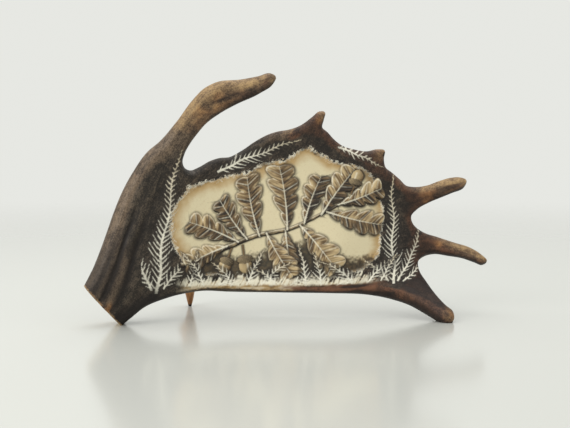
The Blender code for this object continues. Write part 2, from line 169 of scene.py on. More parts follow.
# The pale field of the carving, as (x, z), and how deep it is sunk
FIELD_OUTLINE = [(-127, 96), (-120, 122), (-103, 141), (-78, 152), (-50, 158), (-25, 164), (0, 176),
                 (28, 181), (52, 173), (74, 166), (92, 156), (101, 138), (106, 112), (103, 84), (92, 60),
                 (60, 46), (0, 40), (-60, 42), (-100, 54), (-119, 74)]
FIELD_DEPTH = 1.3
# The carving is worked out only as far from the middle as this
CARVED_REACH = 156.0

# Oak leaves, bottom first: base x, base z, heading in degrees, length, half width, bend, tone
LEAVES = [
    (-64, 79, 196, 50, 14.5, 0.12, 0.62), (-42, 87, 131, 50, 14.0, -0.10, 0.26),
    (-52, 84, 152, 56, 15.5, 0.10, 0.44), (0, 95, -84, 44, 13.0, 0.06, 0.50),
    (-20, 92, -64, 54, 15.5, 0.10, 0.66), (-28, 90, 109, 64, 17.0, -0.12, 0.36),
    (20, 103, 78, 52, 14.5, -0.12, 0.24), (38, 112, 60, 60, 16.5, -0.10, 0.34),
    (56, 122, 16, 50, 14.5, 0.12, 0.50), (2, 97, 92, 68, 18.5, 0.10, 0.42),
    (16, 100, -46, 60, 17.0, -0.08, 0.66), (44, 114, -20, 58, 16.0, 0.10, 0.46)]
LEAF_HEIGHT = 1.5
LEAF_LEAN = 0.55
LEAF_LOBES = 4.0
LEAF_NOTCH = 0.46
STALK = 1.5
# Acorns: stem end x, z, heading in degrees, length, half width
ACORNS = [(-62, 68, -112, 20, 6.8), (-45, 70, -82, 21, 7.2), (72, 142, 70, 19, 6.6)]
ACORN_HEIGHT = 2.5
TWIG = [(-114, 60), (-90, 69), (-60, 79), (-30, 90), (5, 97), (36, 111), (60, 124)]
TWIG_RADII = (2.8, 1.2)
TWIG_HEIGHT = 1.6
# Cosine of the twig's slope, which turns a height over its midline into a distance from it
TWIG_COSINE = 0.93
# Fern fronds on the dark margin: base x, base z, heading, length, half width, bend
FRONDS = [
    (-146, 37, 112, 70, 11, 0.14), (-141, 35, 82, 154, 15, -0.05), (-134, 37, 52, 46, 9, -0.12),
    (121, 35, 60, 74, 10, 0.12), (116, 34, 93, 124, 14, -0.05), (110, 36, 130, 40, 8, 0.12),
    (127, 33, 30, 42, 7, 0.12), (-72, 160, 25, 94, 11, -0.05), (56, 185, -18, 54, 8, -0.10)]
FROND_PITCH = 5.6
FROND_LEAN = 0.8
FROND_CURL = 0.45
FROND_STEM = 1.25
BANK_FRONDS = 14
BANK_PITCH = 5.2
# Heights between which the streaked rim under the field turns into the pale bank
BANK_BAND = (34.5, 38.0)
# Direction, as (x, z), that the light painted on the carving comes from
PAINTED_LIGHT = (-0.6, 0.8)
# Signed distance that stands for "nowhere near"
FAR = -9.0

# Grooves of the beam: distance from its outer edge, depth, half width, and the height where they have faded
GROOVES = [(6.0, 0.6, 1.6, 190), (14.0, 1.7, 2.1, 150), (28.0, 1.5, 3.4, 185)]
# The ridge between the deeper grooves: distance from the outer edge, half width, height where it fades
GROOVE_RIDGE = (20.5, 3.2, 125)
# Width of the band within which the grooves and their ridge wander
GROOVE_WANDER = 7.0
# Heights of the skin's relief: its lumps, the ridge between the grooves, the back's ridges and its sunk veins
LUMP_HEIGHT = 1.3
CREST_HEIGHT = 0.8
BACK_RIDGE_HEIGHT = 2.2
VEIN_DEPTH = 1.1
# The ridge along the lower tine: height and half width
TINE_RIDGE = (0.7, 3.0)
# How far the skin's noise is set inwards, so that it stays inside the solids
BARK_SINK = 0.3
# Where the skin's regions begin and are whole: the beam and the right end by x, the lower part by z
BEAM_FADE = (-92, -134)
RIGHT_FADE = (112, 134)
LOW_FADE = (62, 48)
# Places where rubbed horn shows orange brown: x, z, size, strength
ORANGE_SPOTS = [(-192, 25, 8, 1.7), (171, 75, 8, 1), (175, 7, 7, 1), (-62, 234, 18, 1), (160, 130, 15, 1),
                (-84, 222, 12, 1), (34, 214, 5, 1), (-142, 112, 9, 1)]

# The rear tine from its foot up to the back of the palm: (x, depth, z, radius)
REAR_TINE_PATH = [(-111, 111, 0, 1.7), (-111, 111, 4.5, 2.9), (-111, 111, 13, 5), (-111, 110, 24, 7.2),
                  (-110, 107, 36, 9), (-107.5, 100, 48, 10.2), (-103.5, 88, 60, 11), (-98.5, 74, 69, 12),
                  (-95, 61, 74.5, 13.2), (-93, 50, 77, 15)]
REAR_TINE_ROOT = (-92.0, 79.0)
REAR_TINE_ROOT_RADIUS = 20.0
REAR_TINE_SINK = 0.6
REAR_TINE_SIDES = 120
REAR_TINE_PIECES = 14
REAR_TINE_FLARE_RINGS = 15
# A knob on its left side: height over the floor, how far it stands out, and how wide it spreads
REAR_TINE_KNOB = (27.0, 6.5, 4.5)

CAMERA_X = -8.2
SENSOR_WIDTH = 36.0
# Distances from the middle, in metres, at which the floor is gone and at which it is whole
FLOOR_FADE = (2.6, 0.45)
FLOOR_ROUGHNESS = 0.16
# Lamps: place, point looked at, and size, in metres, then the setting for the power, and the colour
LAMPS = {
    "overhead_light": ((-0.15, 0.15, 1.35), (0, 0, 0.1), 1.3, "key_power", (1, 1, 1)),
    "left_light": ((-1.1, -0.9, 0.95), (-0.05, 0, 0.13), 0.8, "fill_power", (1, 0.99, 0.97))}


def linear(red, green, blue):
    """Scene colour of an sRGB colour given as 0 to 255."""
    shares = (red / 255, green / 255, blue / 255)
    return tuple(c / 12.92 if c <= 0.04045 else ((c + 0.055) / 1.055)**2.4 for c in shares)


def ramp(low, high, value):
    """0 below low, 1 above high, and an S curve between; low may be the larger."""
    t = np.clip((value - low) / (high - low), 0, 1)
    return t * t * (3 - 2 * t)


def bell(offset):
    """Bell curve: e to the power of minus the offset's square."""
    return np.exp(-offset**2)


def between(first, second, share):
    """The first where share is 0, the second where it is 1, and a mixture between."""
    return first * (1 - share) + second * share


def largest(*parts):
    """The largest of several values, point by point."""
    return np.maximum.reduce(parts)


def unit(vectors):
    """Vectors brought to length 1."""
    return vectors / np.maximum(np.linalg.norm(vectors, axis=-1, keepdims=True), 1e-20)


def travelled(points):
    """Way gone at each point of a line."""
    return np.concatenate([[0.0], np.cumsum(np.linalg.norm(np.diff(points, axis=0), axis=1))])


# Noise

def lattice(cell, seed):
    """Repeatable random value, 0 to 1, at each whole-number point: its coordinates and the seed, hashed."""
    x, y, z = cell.astype(np.int64).astype(np.uint64).T
    mixed = x * np.uint64(374761393) + y * np.uint64(668265263) + z * np.uint64(2246822519)
    mixed = (mixed + np.uint64(seed) * np.uint64(3266489917)) & np.uint64(0xFFFFFFFF)
    for shift, factor in ((15, 2654435761), (13, 1274126177)):
        mixed = ((mixed ^ (mixed >> np.uint64(shift))) * np.uint64(factor)) & np.uint64(0xFFFFFFFF)
    return ((mixed ^ (mixed >> np.uint64(16))) & np.uint64(0xFFFF)) / 65535.0


def noise(points, size, seed):
    """Smooth noise, 0 to 1: random values at a lattice's corners, blended by an S curve along each axis."""
    scaled = points / size
    cell = np.floor(scaled)
    t = ramp(0, 1, scaled - cell)
    total = np.zeros(len(points))
    for corner in range(8):
        step = np.array([corner & 1, corner >> 1 & 1, corner >> 2 & 1])
        total += np.where(step, t, 1 - t).prod(axis=1) * lattice(cell + step, seed)
    return total


def cloud(points, size, seed, layers=3):
    """Noise plus finer and weaker noise, 0 to 1."""
    total = sum(noise(points, size / 2**k, seed + k) / 2**k for k in range(layers))
    return total / (2 - 2.0 ** (1 - layers))


def streaks(points, along, size, reach, seed):
    """Noise smeared along a direction, -0.5 to 0.5: its mean at nine places in a row, with more contrast."""
    mean = sum(noise(points + along * place, size, seed) for place in np.linspace(-reach, reach, 9)) / 9
    return np.clip((mean - 0.5) * 2.1, -0.5, 0.5)


# The grown shape

def smooth_loop(knots, step):
    """Closed curve through the knots: cubic pieces whose slopes at a knot weigh its two chords by length."""
    points = np.array(knots, float)
    ahead = np.roll(points, -1, axis=0) - points
    length = np.linalg.norm(ahead, axis=1)[:, None]
    behind = np.roll(ahead, 1, axis=0)
    behind_length = np.roll(length, 1, axis=0)
    slope = (ahead / length * behind_length + behind / behind_length * length) / (length + behind_length)
    pieces = []
    for point, chord, size, start, end in zip(points, ahead, length[:, 0], slope, np.roll(slope, -1, axis=0)):
        t = np.arange(0.0, 1.0, step / size)[:, None]
        pieces.append(point + chord * (3 * t**2 - 2 * t**3)
                      + size * (start * (t**3 - 2 * t**2 + t) + end * (t**3 - t**2)))
    return np.concatenate(pieces)


def smooth_path(knots, pieces=8):
    """Open curve through the knots, with slopes taken from each knot's two neighbours."""
    points = np.array(knots, float)
    padded = np.vstack([2 * points[0] - points[1], points, 2 * points[-1] - points[-2]])[:, None]
    before, start, end, after = padded[:-3], padded[1:-2], padded[2:-1], padded[3:]
    t = (np.arange(pieces) / pieces)[None, :, None]
    curve = 0.5 * (2 * start + (end - before) * t + (2 * before - 5 * start + 4 * end - after) * t**2
                   + (3 * start - before - 3 * end + after) * t**3)
    return np.vstack([curve.reshape(-1, points.shape[1]), points[-1:]])


def spread_points(loop, reach=4, smoothings=12):
    """Points along a dense loop, closer where it bends: a step is a share of the bend's radius.

    The radius is that of the circle through a point and its neighbours a few places away.
    """
    back = loop - np.roll(loop, reach, axis=0)
    ahead = np.roll(loop, -reach, axis=0) - loop
    cross = np.abs(back[:, 0] * ahead[:, 1] - back[:, 1] * ahead[:, 0])
    sides = np.prod([np.linalg.norm(chord, axis=1) for chord in (back, ahead, back + ahead)], axis=0)
    step = np.clip(EDGE_STEP_PER_RADIUS * sides / np.maximum(2 * cross, 1e-6), *EDGE_STEPS)
    for _ in range(smoothings):
        step = (np.roll(step, 1) + step + np.roll(step, -1)) / 3
    closed = np.vstack([loop, loop[:1]])
    steps_gone = np.concatenate([[0.0], np.cumsum(np.diff(travelled(closed)) / step)])
    count = int(round(steps_gone[-1]))
    at = np.arange(count) * steps_gone[-1] / count
    return np.stack([np.interp(at, steps_gone, column) for column in closed.T], axis=1)


def thin_plate(places, values):
    """Smoothest sheet through the values: a sum of r^2 log r terms and a plane."""
    def terms(points):
        r = np.linalg.norm(points[:, None] - places[None], axis=2)
        return r * r * np.log(np.maximum(r, 1e-9))

    count = len(places)
    system = np.zeros((count + 3, count + 3))
    system[:count, :count] = terms(places)
    system[:count, count] = 1
    system[:count, count + 1:] = places
    system[count:, :count] = system[:count, count:].T
    weights = np.linalg.solve(system, np.concatenate([values, np.zeros(3)]))
    return lambda points: terms(points) @ weights[:count] + weights[count] + points @ weights[count + 1:]


EDGE = spread_points(smooth_loop(OUTLINE, OUTLINE_STEP))
MIDDLE = thin_plate(STATIONS[:, :2], STATIONS[:, 2])


def slopes(function, first, second, nudge):
    """A function's slopes along its two parameters, from its values a nudge to either side."""
    return ((function(first + nudge, second) - function(first - nudge, second)) / (2 * nudge),
            (function(first, second + nudge) - function(first, second - nudge)) / (2 * nudge))


def middle_and_normal(points):
    """Points of the middle surface, and its unit normals towards the front."""
    x, z = points.T
    slope_x, slope_z = slopes(lambda *place: MIDDLE(np.stack(place, axis=1)), x, z, nudge=0.5)
    normal = unit(np.stack([slope_x, -np.ones(len(x)), slope_z], axis=1))
    return np.stack([x, MIDDLE(points), z], axis=1), normal


def to_metres(points):
    """Points of the drawing, as (x, depth, z), in the part's own frame."""
    return (points - ORIGIN) * MM


def in_chunks(function, points, size=700):
    """A function of many points, called on a part of them at a time to save memory."""
    return np.concatenate([function(points[k:k + size]) for k in range(0, max(len(points), 1), size)])


def smoothed_depth(points):
    """How far inside the outline each point is, smoothed: 2 over the sum of tan(a/2) (1/r + 1/r').

    The sum runs along the outline, at every second point: a is the angle that a short side takes up, and r
    and r' are the distances to its ends. It equals the distance close to an edge and levels off further in.
    """
    def measure(part):
        x, z = (EDGE[None, ::2, axis] - part[:, axis:axis + 1] for axis in (0, 1))
        r = np.sqrt(x * x + z * z) + 1e-9
        x_end, z_end, r_end = (np.roll(side, -1, axis=1) for side in (x, z, r))
        half_tangent = (x * z_end - z * x_end) / np.maximum(r * r_end + x * x_end + z * z_end, 1e-9)
        return 2 / np.maximum(np.abs((half_tangent * (1 / r + 1 / r_end)).sum(axis=1)), 1e-9)

    return in_chunks(measure, points)


def nearest(points, loop):
    """Distance to the nearest point of a loop, from p.p - 2 p.q + q.q for every pair of points."""
    square = (loop * loop).sum(axis=1)

    def measure(part):
        return (square - 2 * part @ loop.T).min(axis=1) + (part * part).sum(axis=1)

    return np.sqrt(np.maximum(in_chunks(measure, points), 0))


def is_inside(points, polygon):
    """Whether points are inside: a level line to the right crosses the polygon an odd number of times."""
    x, z = polygon.T
    x_end, z_end = np.roll(x, -1), np.roll(z, -1)
    slope = (x_end - x) / np.where(z_end == z, 1e-9, z_end - z)

    def measure(part):
        level = part[:, 1:]
        crossing = (z > level) != (z_end > level)
        return (crossing & (part[:, :1] < slope * (level - z) + x)).sum(axis=1) % 2 == 1

    return in_chunks(measure, points)


def squared_distances(points, places):
    """Squared distance of every point from every place."""
    return ((points[:, None] - places[None])**2).sum(axis=2)


def half_thickness(points, depth_in):
    """Half the antler's thickness, and the most it could be there.

    The most is the mean of the stations' own, weighed by distance to the power -4. From the edge the
    thickness rises as an arc, and levels off at the most.
    """
    def measure(part):
        weight = (squared_distances(part, STATIONS[:, :2]) + NEAR)**-2
        return (weight * STATIONS[:, 3]).sum(axis=1) / weight.sum(axis=1)

    full = in_chunks(measure, points)
    arc = ROUNDNESS * full * depth_in
    return np.sqrt(arc * full**2 / (arc**3 + full**6) ** (1 / 3)), full


def growth(points):
    """Direction of growth at each point, its distance from the nearest growth line, and the way gone on it.

    The direction is the mean of those at all points of the lines, weighed by distance to the power -4.
    """
    lines = [smooth_path(knots, pieces=6) for knots in GROWTH_LINES]

    def measure(part):
        heading = np.zeros((len(part), 2))
        closest = np.full(len(part), 1e9)
        gone = np.zeros(len(part))
        for line in lines:
            step = np.gradient(line, axis=0)
            length = np.linalg.norm(step, axis=1)
            square = squared_distances(part, line)
            heading += (1 / (square + NEAR)**2) @ step
            at = square.argmin(axis=1)
            forward = ((part - line[at]) * (step / length[:, None])[at]).sum(axis=1)
            forward = np.clip(forward, -length[at], length[at])
            distance = np.maximum(square[np.arange(len(at)), at] - forward**2, 0)
            closer = distance < closest
            closest = np.where(closer, distance, closest)
            gone = np.where(closer, travelled(line)[at] + forward, gone)
        return np.column_stack([unit(heading), np.sqrt(closest), gone])

    found = in_chunks(measure, points, size=20000)
    return found[:, :2], found[:, 2], found[:, 3]


def saw_plane():
    """A point of the saw cut in the finished antler, and its outward normal."""
    upper, lower = middle_and_normal(SAW_CORNERS)[0]
    outward = unit(np.cross(lower - upper, (-SAW_LEAN, 1, -SAW_LEAN / 2)))
    return to_metres(upper), -np.sign(outward[0]) * outward


# The carving

def local_place(points, base_x, base_z, heading, length, bend):
    """Distance along and across a curved midline that starts at a base with a heading in degrees."""
    turn = math.radians(heading)
    away = points - (base_x, base_z)
    along = away[:, 0] * math.cos(turn) + away[:, 1] * math.sin(turn)
    across = -away[:, 0] * math.sin(turn) + away[:, 1] * math.cos(turn)
    return along, across - bend * along * along / length


def light_from_left(heading):
    """How far the light from the upper left falls on what lies left of a heading in degrees."""
    turn = math.radians(heading)
    return PAINTED_LIGHT[1] * math.cos(turn) - PAINTED_LIGHT[0] * math.sin(turn)


def leaf_margin(along, across, length, half_width):
    """Half the leaf's width less the distance from its midrib, and the sheared place along it, 0 to 1.

    The width is a blade that is widest past its middle, times rounded lobes that lean towards the tip.
    """
    sheared = (along - LEAF_LEAN * np.abs(across)) / length
    share = np.clip(sheared, 0, 1)
    blade = share**0.85 * (1 - share)**0.42 * 2.05
    lobe = np.abs(np.sin(math.pi * LEAF_LOBES * share**0.9))**0.55
    stalk = np.where((along > -STALK) & (along < 0.8 * length), 0.9, 0.0)
    width = np.maximum(half_width * blade * (1 - LEAF_NOTCH + LEAF_NOTCH * lobe), stalk)
    beyond = np.maximum(np.maximum((sheared - 1) * length, -STALK - along), 0)
    return width - np.abs(across) - 2 * beyond, share


def frond_measures(points, frond, pitch):
    """Signed distances inside a fern frond's lines and its whole outline, and the place along it, 0 to 1.

    The leaflets are stripes of the place along the stem, less a slope and a square of the distance from it,
    so they lean and curl towards the tip. A hash of its number gives each its length and a small shift.
    """
    base_x, base_z, heading, length, half_width, bend = frond
    along, across = local_place(points, base_x, base_z, heading, length, bend)
    across = across - 0.012 * length * np.sin(along * 14 / length + base_x) * ramp(0, 20, along)
    off = np.abs(across)
    sheared = along - FROND_LEAN * off - FROND_CURL * across * across / half_width
    share = sheared / length
    place = sheared / pitch + 0.25 * np.sign(across)
    number = np.floor(place) + 57 * np.sign(across) + base_x
    luck = (np.sin(number * 12.9898) * 43758.5453) % 1
    outline = half_width * np.clip(share * 5 + 0.2, 0, 1)**0.6 * np.clip(1 - share, 0, 1)**0.8
    slope = FROND_LEAN + 2 * FROND_CURL * off / half_width
    off_line = np.abs(place % 1 - 0.5 + 0.3 * (luck - 0.5)) * pitch / np.sqrt(1 + slope**2)
    room = np.clip(1 - off / np.maximum(outline * (0.6 + 0.55 * luck), 1e-3), 0, 1)
    leaflet = np.where((room > 0) & (share > 0), 0.14 * pitch * room**0.6 - off_line, FAR)
    way = along / length
    thick = FROND_STEM * (length / 100)**0.4 * (1 - 0.8 * way)
    stem = np.where((way > -0.02) & (way < 1), thick - off, FAR)
    whole = np.where((share > -0.1) & (share < 1), outline - off, FAR)
    return np.maximum(leaflet, stem), whole, np.clip(way, 0, 1)


class Carving:
    """Height and paint of the carving at the given points, built up piece by piece from the bottom."""

    def __init__(self, points, colours, field):
        self.points, self.field = points, field
        self.x, self.z = points.T
        self.solid = np.insert(points, 1, 0.0, axis=1)
        self.colours = {name: np.array(colour) for name, colour in colours.items()}
        self.height, self.cover = np.zeros((2, len(points)))
        self.paint = np.zeros((len(points), 3))
        self.mottle = cloud(self.solid, size=5.0, seed=11) - 0.5
        self.fine = noise(self.solid, size=1.6, seed=23) - 0.5

    def lay(self, mask, colour):
        """Covers what is below with a named colour, or each point's own, as far as the mask says."""
        mask = np.clip(mask, 0, 1)
        colour = self.colours[colour] if isinstance(colour, str) else colour
        cover = mask + self.cover * (1 - mask)
        self.paint = between(self.paint, colour, (mask / np.maximum(cover, 1e-6))[:, None])
        self.cover = cover

    def blend(self, low, high, share):
        """Rows of colours between two named ones."""
        return between(self.colours[low], self.colours[high], np.clip(share, 0, 1)[:, None])

    def undergrowth(self):
        """Soft dark foliage behind the leaves, along the lower part of the field."""
        top = 64 + 18 * bell((self.x - 6) / 50) + 6 * np.sin(self.x / 17)
        top += 22 * (cloud(self.solid, size=15.0, seed=3) - 0.5)
        inside = top - self.z + 6 * self.fine + 6 * self.mottle
        shade = 0.05 + 0.6 * self.mottle + 0.5 * self.fine + 0.15 * ramp(30, 0, inside)
        foliage = self.blend("charcoal", "leaf_mid", shade)
        self.lay(ramp(-5, 5, inside) * ramp(-3, 4, self.field) * 0.95, foliage)

    def twig(self):
        """Twig whose midline is a height over x; its upper side is lit."""
        line_x, line_z = smooth_path(TWIG).T
        share = np.clip((self.x - line_x[0]) / (line_x[-1] - line_x[0]), 0, 1)
        radius = between(*TWIG_RADII, share) + 0.5 * self.mottle
        offset = (self.z - np.interp(self.x, line_x, line_z)) * TWIG_COSINE / radius
        offset = np.where((self.x < line_x[0] - 2) | (self.x > line_x[-1] + 2), 99.0, offset)
        self.height = np.maximum(self.height, TWIG_HEIGHT * np.sqrt(np.clip(1 - offset**2, 0, 1)))
        self.lay(ramp(1.9, 1, np.abs(offset)) * 0.8, "shadow")
        bark = self.blend("leaf_dark", "leaf_light", 0.3 + 0.4 * offset + self.mottle)
        self.lay(ramp(1.1, 0.9, np.abs(offset)), bark)
        self.lay(ramp(0.4, 0.65, offset) * ramp(1.0, 0.8, offset) * (0.6 + self.mottle), "highlight")

    def leaf(self, base_x, base_z, heading, length, half_width, bend, tone):
        """Oak leaf: a lobed blade that swells between its veins, with a midrib, strokes and one lit side.

        The distance from its edge is its margin over the margin's slope.
        """
        along, across = local_place(self.points, base_x, base_z, heading, length, bend)
        margin, share = leaf_margin(along, across, length, half_width)
        slope = slopes(lambda *place: leaf_margin(*place, length, half_width)[0], along, across, nudge=0.3)
        edge = margin / np.maximum(np.hypot(*slope), 1.0)
        vein = np.abs(share**0.9 * LEAF_LOBES % 1 - 0.5) / LEAF_LOBES * length / math.sqrt(1 + LEAF_LEAN**2)
        vein = np.where((share > 0.05) & (share < 0.97), vein, 9.0)
        sheared = along - LEAF_LEAN * np.abs(across)
        stroke_place = np.stack([sheared / 1.3, across / 7.0, np.full(len(along), base_x)], axis=1)
        strokes = noise(stroke_place, size=1.0, seed=7) - 0.5
        way, off = np.clip(along / length, 0, 1), np.abs(across) / half_width
        lit_side = np.sign(across) * light_from_left(heading)
        quilt = ramp(0, 3.5, vein)
        rise = LEAF_HEIGHT * ramp(0, 1.1, edge) + 0.45 * quilt * ramp(1, 4, edge) + 0.35 * np.clip(off, 0, 1)
        rise -= 0.5 * bell(across / 0.8) * (edge > 0.3)
        self.height = np.where(edge > 0, 0.4 * self.height + rise, self.height)
        self.lay(ramp(-2.8 + 0.9 * lit_side, 0, edge) * (0.7 - 0.25 * lit_side), "shadow")
        shade = tone - 0.04 + 0.3 * lit_side + 0.35 * self.mottle + 0.9 * strokes + 0.3 * (quilt - 0.5)
        shade += 0.25 * (way - 0.5) + 0.35 * (off - 0.45)
        body = np.where(shade[:, None] < 0.5, self.blend("leaf_dark", "leaf_mid", shade * 2),
                        self.blend("leaf_mid", "leaf_light", shade * 2 - 1))
        self.lay(ramp(-0.25, 0.25, edge), body)
        rim = ramp(0.1, 0.6, edge) * ramp(1.9, 0.8, edge) * (along > 0.03 * length)
        self.lay(rim * np.clip(0.36 + 0.45 * lit_side + self.mottle, 0.05, 1), "highlight")
        self.lay(ramp(0.65, 0.2, vein) * ramp(0.6, 2.0, edge) * (0.42 + 0.9 * self.mottle), "highlight")
        midrib = np.abs(across) - 0.8 * (1 - 0.75 * way)
        self.lay(ramp(0.3, -0.2, midrib) * (edge > 0) * (0.85 - 0.3 * way), "highlight")

    def acorn(self, base_x, base_z, heading, length, half_width):
        """Acorn: a domed nut with a point, in a scaly cup on a stalk. Nut and cup are ovals."""
        along, across = local_place(self.points, base_x, base_z, heading, length, 0.0)
        share, side = along / length, across / half_width
        nut = (1 - np.hypot((share - 0.60) / 0.42, side)) * half_width
        nut = np.maximum(nut, 0.7 - np.hypot(along - length * 1.03, across))
        cup = (1 - np.hypot((share - 0.28) / 0.24, side / 1.14)) * half_width
        cup = np.where(share < 0.42 + 0.05 * (1 - side**2), cup, FAR)
        stalk = np.where((share < 0.1) & (share > -0.5), 0.9 - np.abs(across), FAR)
        whole = largest(nut, cup, stalk)
        dome = ACORN_HEIGHT * np.sqrt(1 - (1 - np.clip(whole / half_width, 0, 1))**2)
        self.height = np.where(whole > 0, 0.3 * self.height + dome, self.height)
        self.lay(ramp(-2.2, 0, whole) * 0.8, "shadow")
        self.lay(ramp(-0.3, 0.3, stalk), "leaf_mid")
        lit = side * light_from_left(heading)
        shell = self.blend("nut_dark", "nut_light", 0.5 + 0.45 * lit + 0.5 * self.mottle)
        self.lay(ramp(-0.25, 0.25, nut), shell)
        lit_line = 0.35 * math.copysign(1, math.cos(math.radians(heading)) + 0.01)
        self.lay(bell((side - lit_line) / 0.13) * (nut > 0.8) * (share < 0.85) * 0.6, "highlight")
        scales = np.sin((along + across) * 2.2) * np.sin((along - across) * 2.2)
        self.height += np.where(cup > 0, 0.3 + 0.2 * scales, 0)
        rough = self.blend("leaf_dark", "leaf_light", 0.25 + 0.5 * scales + 0.3 * lit)
        self.lay(ramp(-0.25, 0.25, cup), rough)

    def fern(self, frond, pitch, strength, shade):
        """One pale frond over its own dark shadow."""
        line, outline, way = frond_measures(self.points, frond, pitch)
        line = line + 0.3 * self.fine
        self.lay(ramp(-1.6, 0.6, outline) * shade, "shadow")
        seen = ramp(-0.22, 0.25, line) * (0.9 + 0.7 * self.mottle) * strength
        self.lay(seen, self.blend("fern", "leaf_light", way * 1.2 - 0.5))
        self.height += 0.3 * ramp(-0.3, 0.3, line) * strength * (self.height < 3)

    def bank(self):
        """A pale bank with small ferns along the foot of the field, and the streaked rim below it.

        The ferns stand side by side, and their headings and lengths follow sines.
        """
        grain = streaks(self.solid, np.array([1.0, 0, 0.03]), size=2.2, reach=9.0, seed=41)
        blades = streaks(self.solid, np.array([0.45, 0, 0.9]), size=1.5, reach=5.0, seed=43)
        drift = self.x + 20 * self.mottle
        band = ramp(*BANK_BAND, self.z + 4 * self.mottle)
        ground = ramp(47, 41, self.z + 14 * self.mottle + 3 * self.fine - 12 * blades)
        ground *= ramp(-124, -104, drift) * ramp(116, 92, drift)
        pale = between(0.5 * ramp(-0.15, 0.2, grain), 0.4 + 0.6 * ramp(-0.25, 0, blades), band)
        tan = self.blend("leaf_mid", "field_tan", ramp(-0.35, 0, grain))
        streaked = between(tan, self.colours["highlight"], pale[:, None])
        brown = self.blend("red_dark", "red_light", ramp(-0.3, 0.25, grain))
        warm_rim = ramp(-30, 30, self.x + 60 * self.mottle)
        warm = between(warm_rim, 0.8 * ramp(72, 108, self.x + 30 * self.mottle), band)
        self.lay(ground * 0.95, between(streaked, brown, warm[:, None]))
        self.height = between(self.height, 0.9 * (1 + 0.6 * self.fine), ground)
        for k in range(BANK_FRONDS):
            lean = math.sin(k * 2.4)
            frond = (-106 + 208 * k / (BANK_FRONDS - 1), 36 + 2 * math.sin(k * 3.1), 76 + 44 * lean,
                     38 + 9 * math.sin(k * 1.7 + 0.5), 8.4 + 1.2 * math.sin(k * 2.9), 0.5 * lean)
            self.fern(frond, BANK_PITCH, ramp(*BANK_BAND, self.z), 0.7 * ramp(40, 46, self.z))

    def carve(self):
        """The whole carving, from the bottom up."""
        self.undergrowth()
        for frond in FRONDS:
            self.fern(frond, FROND_PITCH, 1.0, 0.5 * ramp(3, -3, self.field))
        self.twig()
        for leaf in LEAVES:
            self.leaf(*leaf)
        for acorn in ACORNS:
            self.acorn(*acorn)
        self.bank()


# The skin: all the points of the grown body, which its limbs share

def hex_grid(spacing):
    """Points on a triangular grid over the whole outline."""
    low = np.min(OUTLINE, axis=0) + GRID_SHIFT
    high = np.max(OUTLINE, axis=0)
    rows = np.arange(low[1], high[1], spacing * math.sqrt(3) / 2)
    x, z = np.meshgrid(np.arange(low[0], high[0], spacing), rows)
    x = x + (np.arange(len(rows)) % 2)[:, None] * spacing / 2
    return np.stack([x.ravel(), z.ravel()], axis=1)


def rim_rings():
    """Rings just inside the edge, as (x, z, smoothed depth). The last ring's bend serves them all."""
    along = np.roll(EDGE, -1, axis=0) - np.roll(EDGE, 1, axis=0)
    inward = unit(np.stack([along[:, 1], -along[:, 0]], axis=1))
    last = RIM_RINGS[-1]
    bend = np.clip((1 - smoothed_depth(EDGE + inward * last) / last) / last, -0.3, 0.4)
    rings = []
    for offset in RIM_RINGS:
        ring = EDGE + inward * offset
        clear = nearest(ring, EDGE) > 0.9 * offset
        rings.append(np.column_stack([ring, offset * (1 - bend * offset)])[clear])
    return np.concatenate(rings)


def new_mesh(name, points, faces):
    """Mesh of points, in metres, and of faces that list their numbers."""
    mesh = bpy.data.meshes.new(name)
    mesh.from_pydata(points.tolist(), [], faces)
    return mesh


def add_values(mesh, values):
    """Named values, or rows of three, on a mesh's points, where the materials read them."""
    for name, value in values.items():
        kind, key = ("FLOAT", "value") if value.ndim == 1 else ("FLOAT_VECTOR", "vector")
        mesh.attributes.new(name, kind, "POINT").data.foreach_set(key, value.astype(np.float32).ravel())


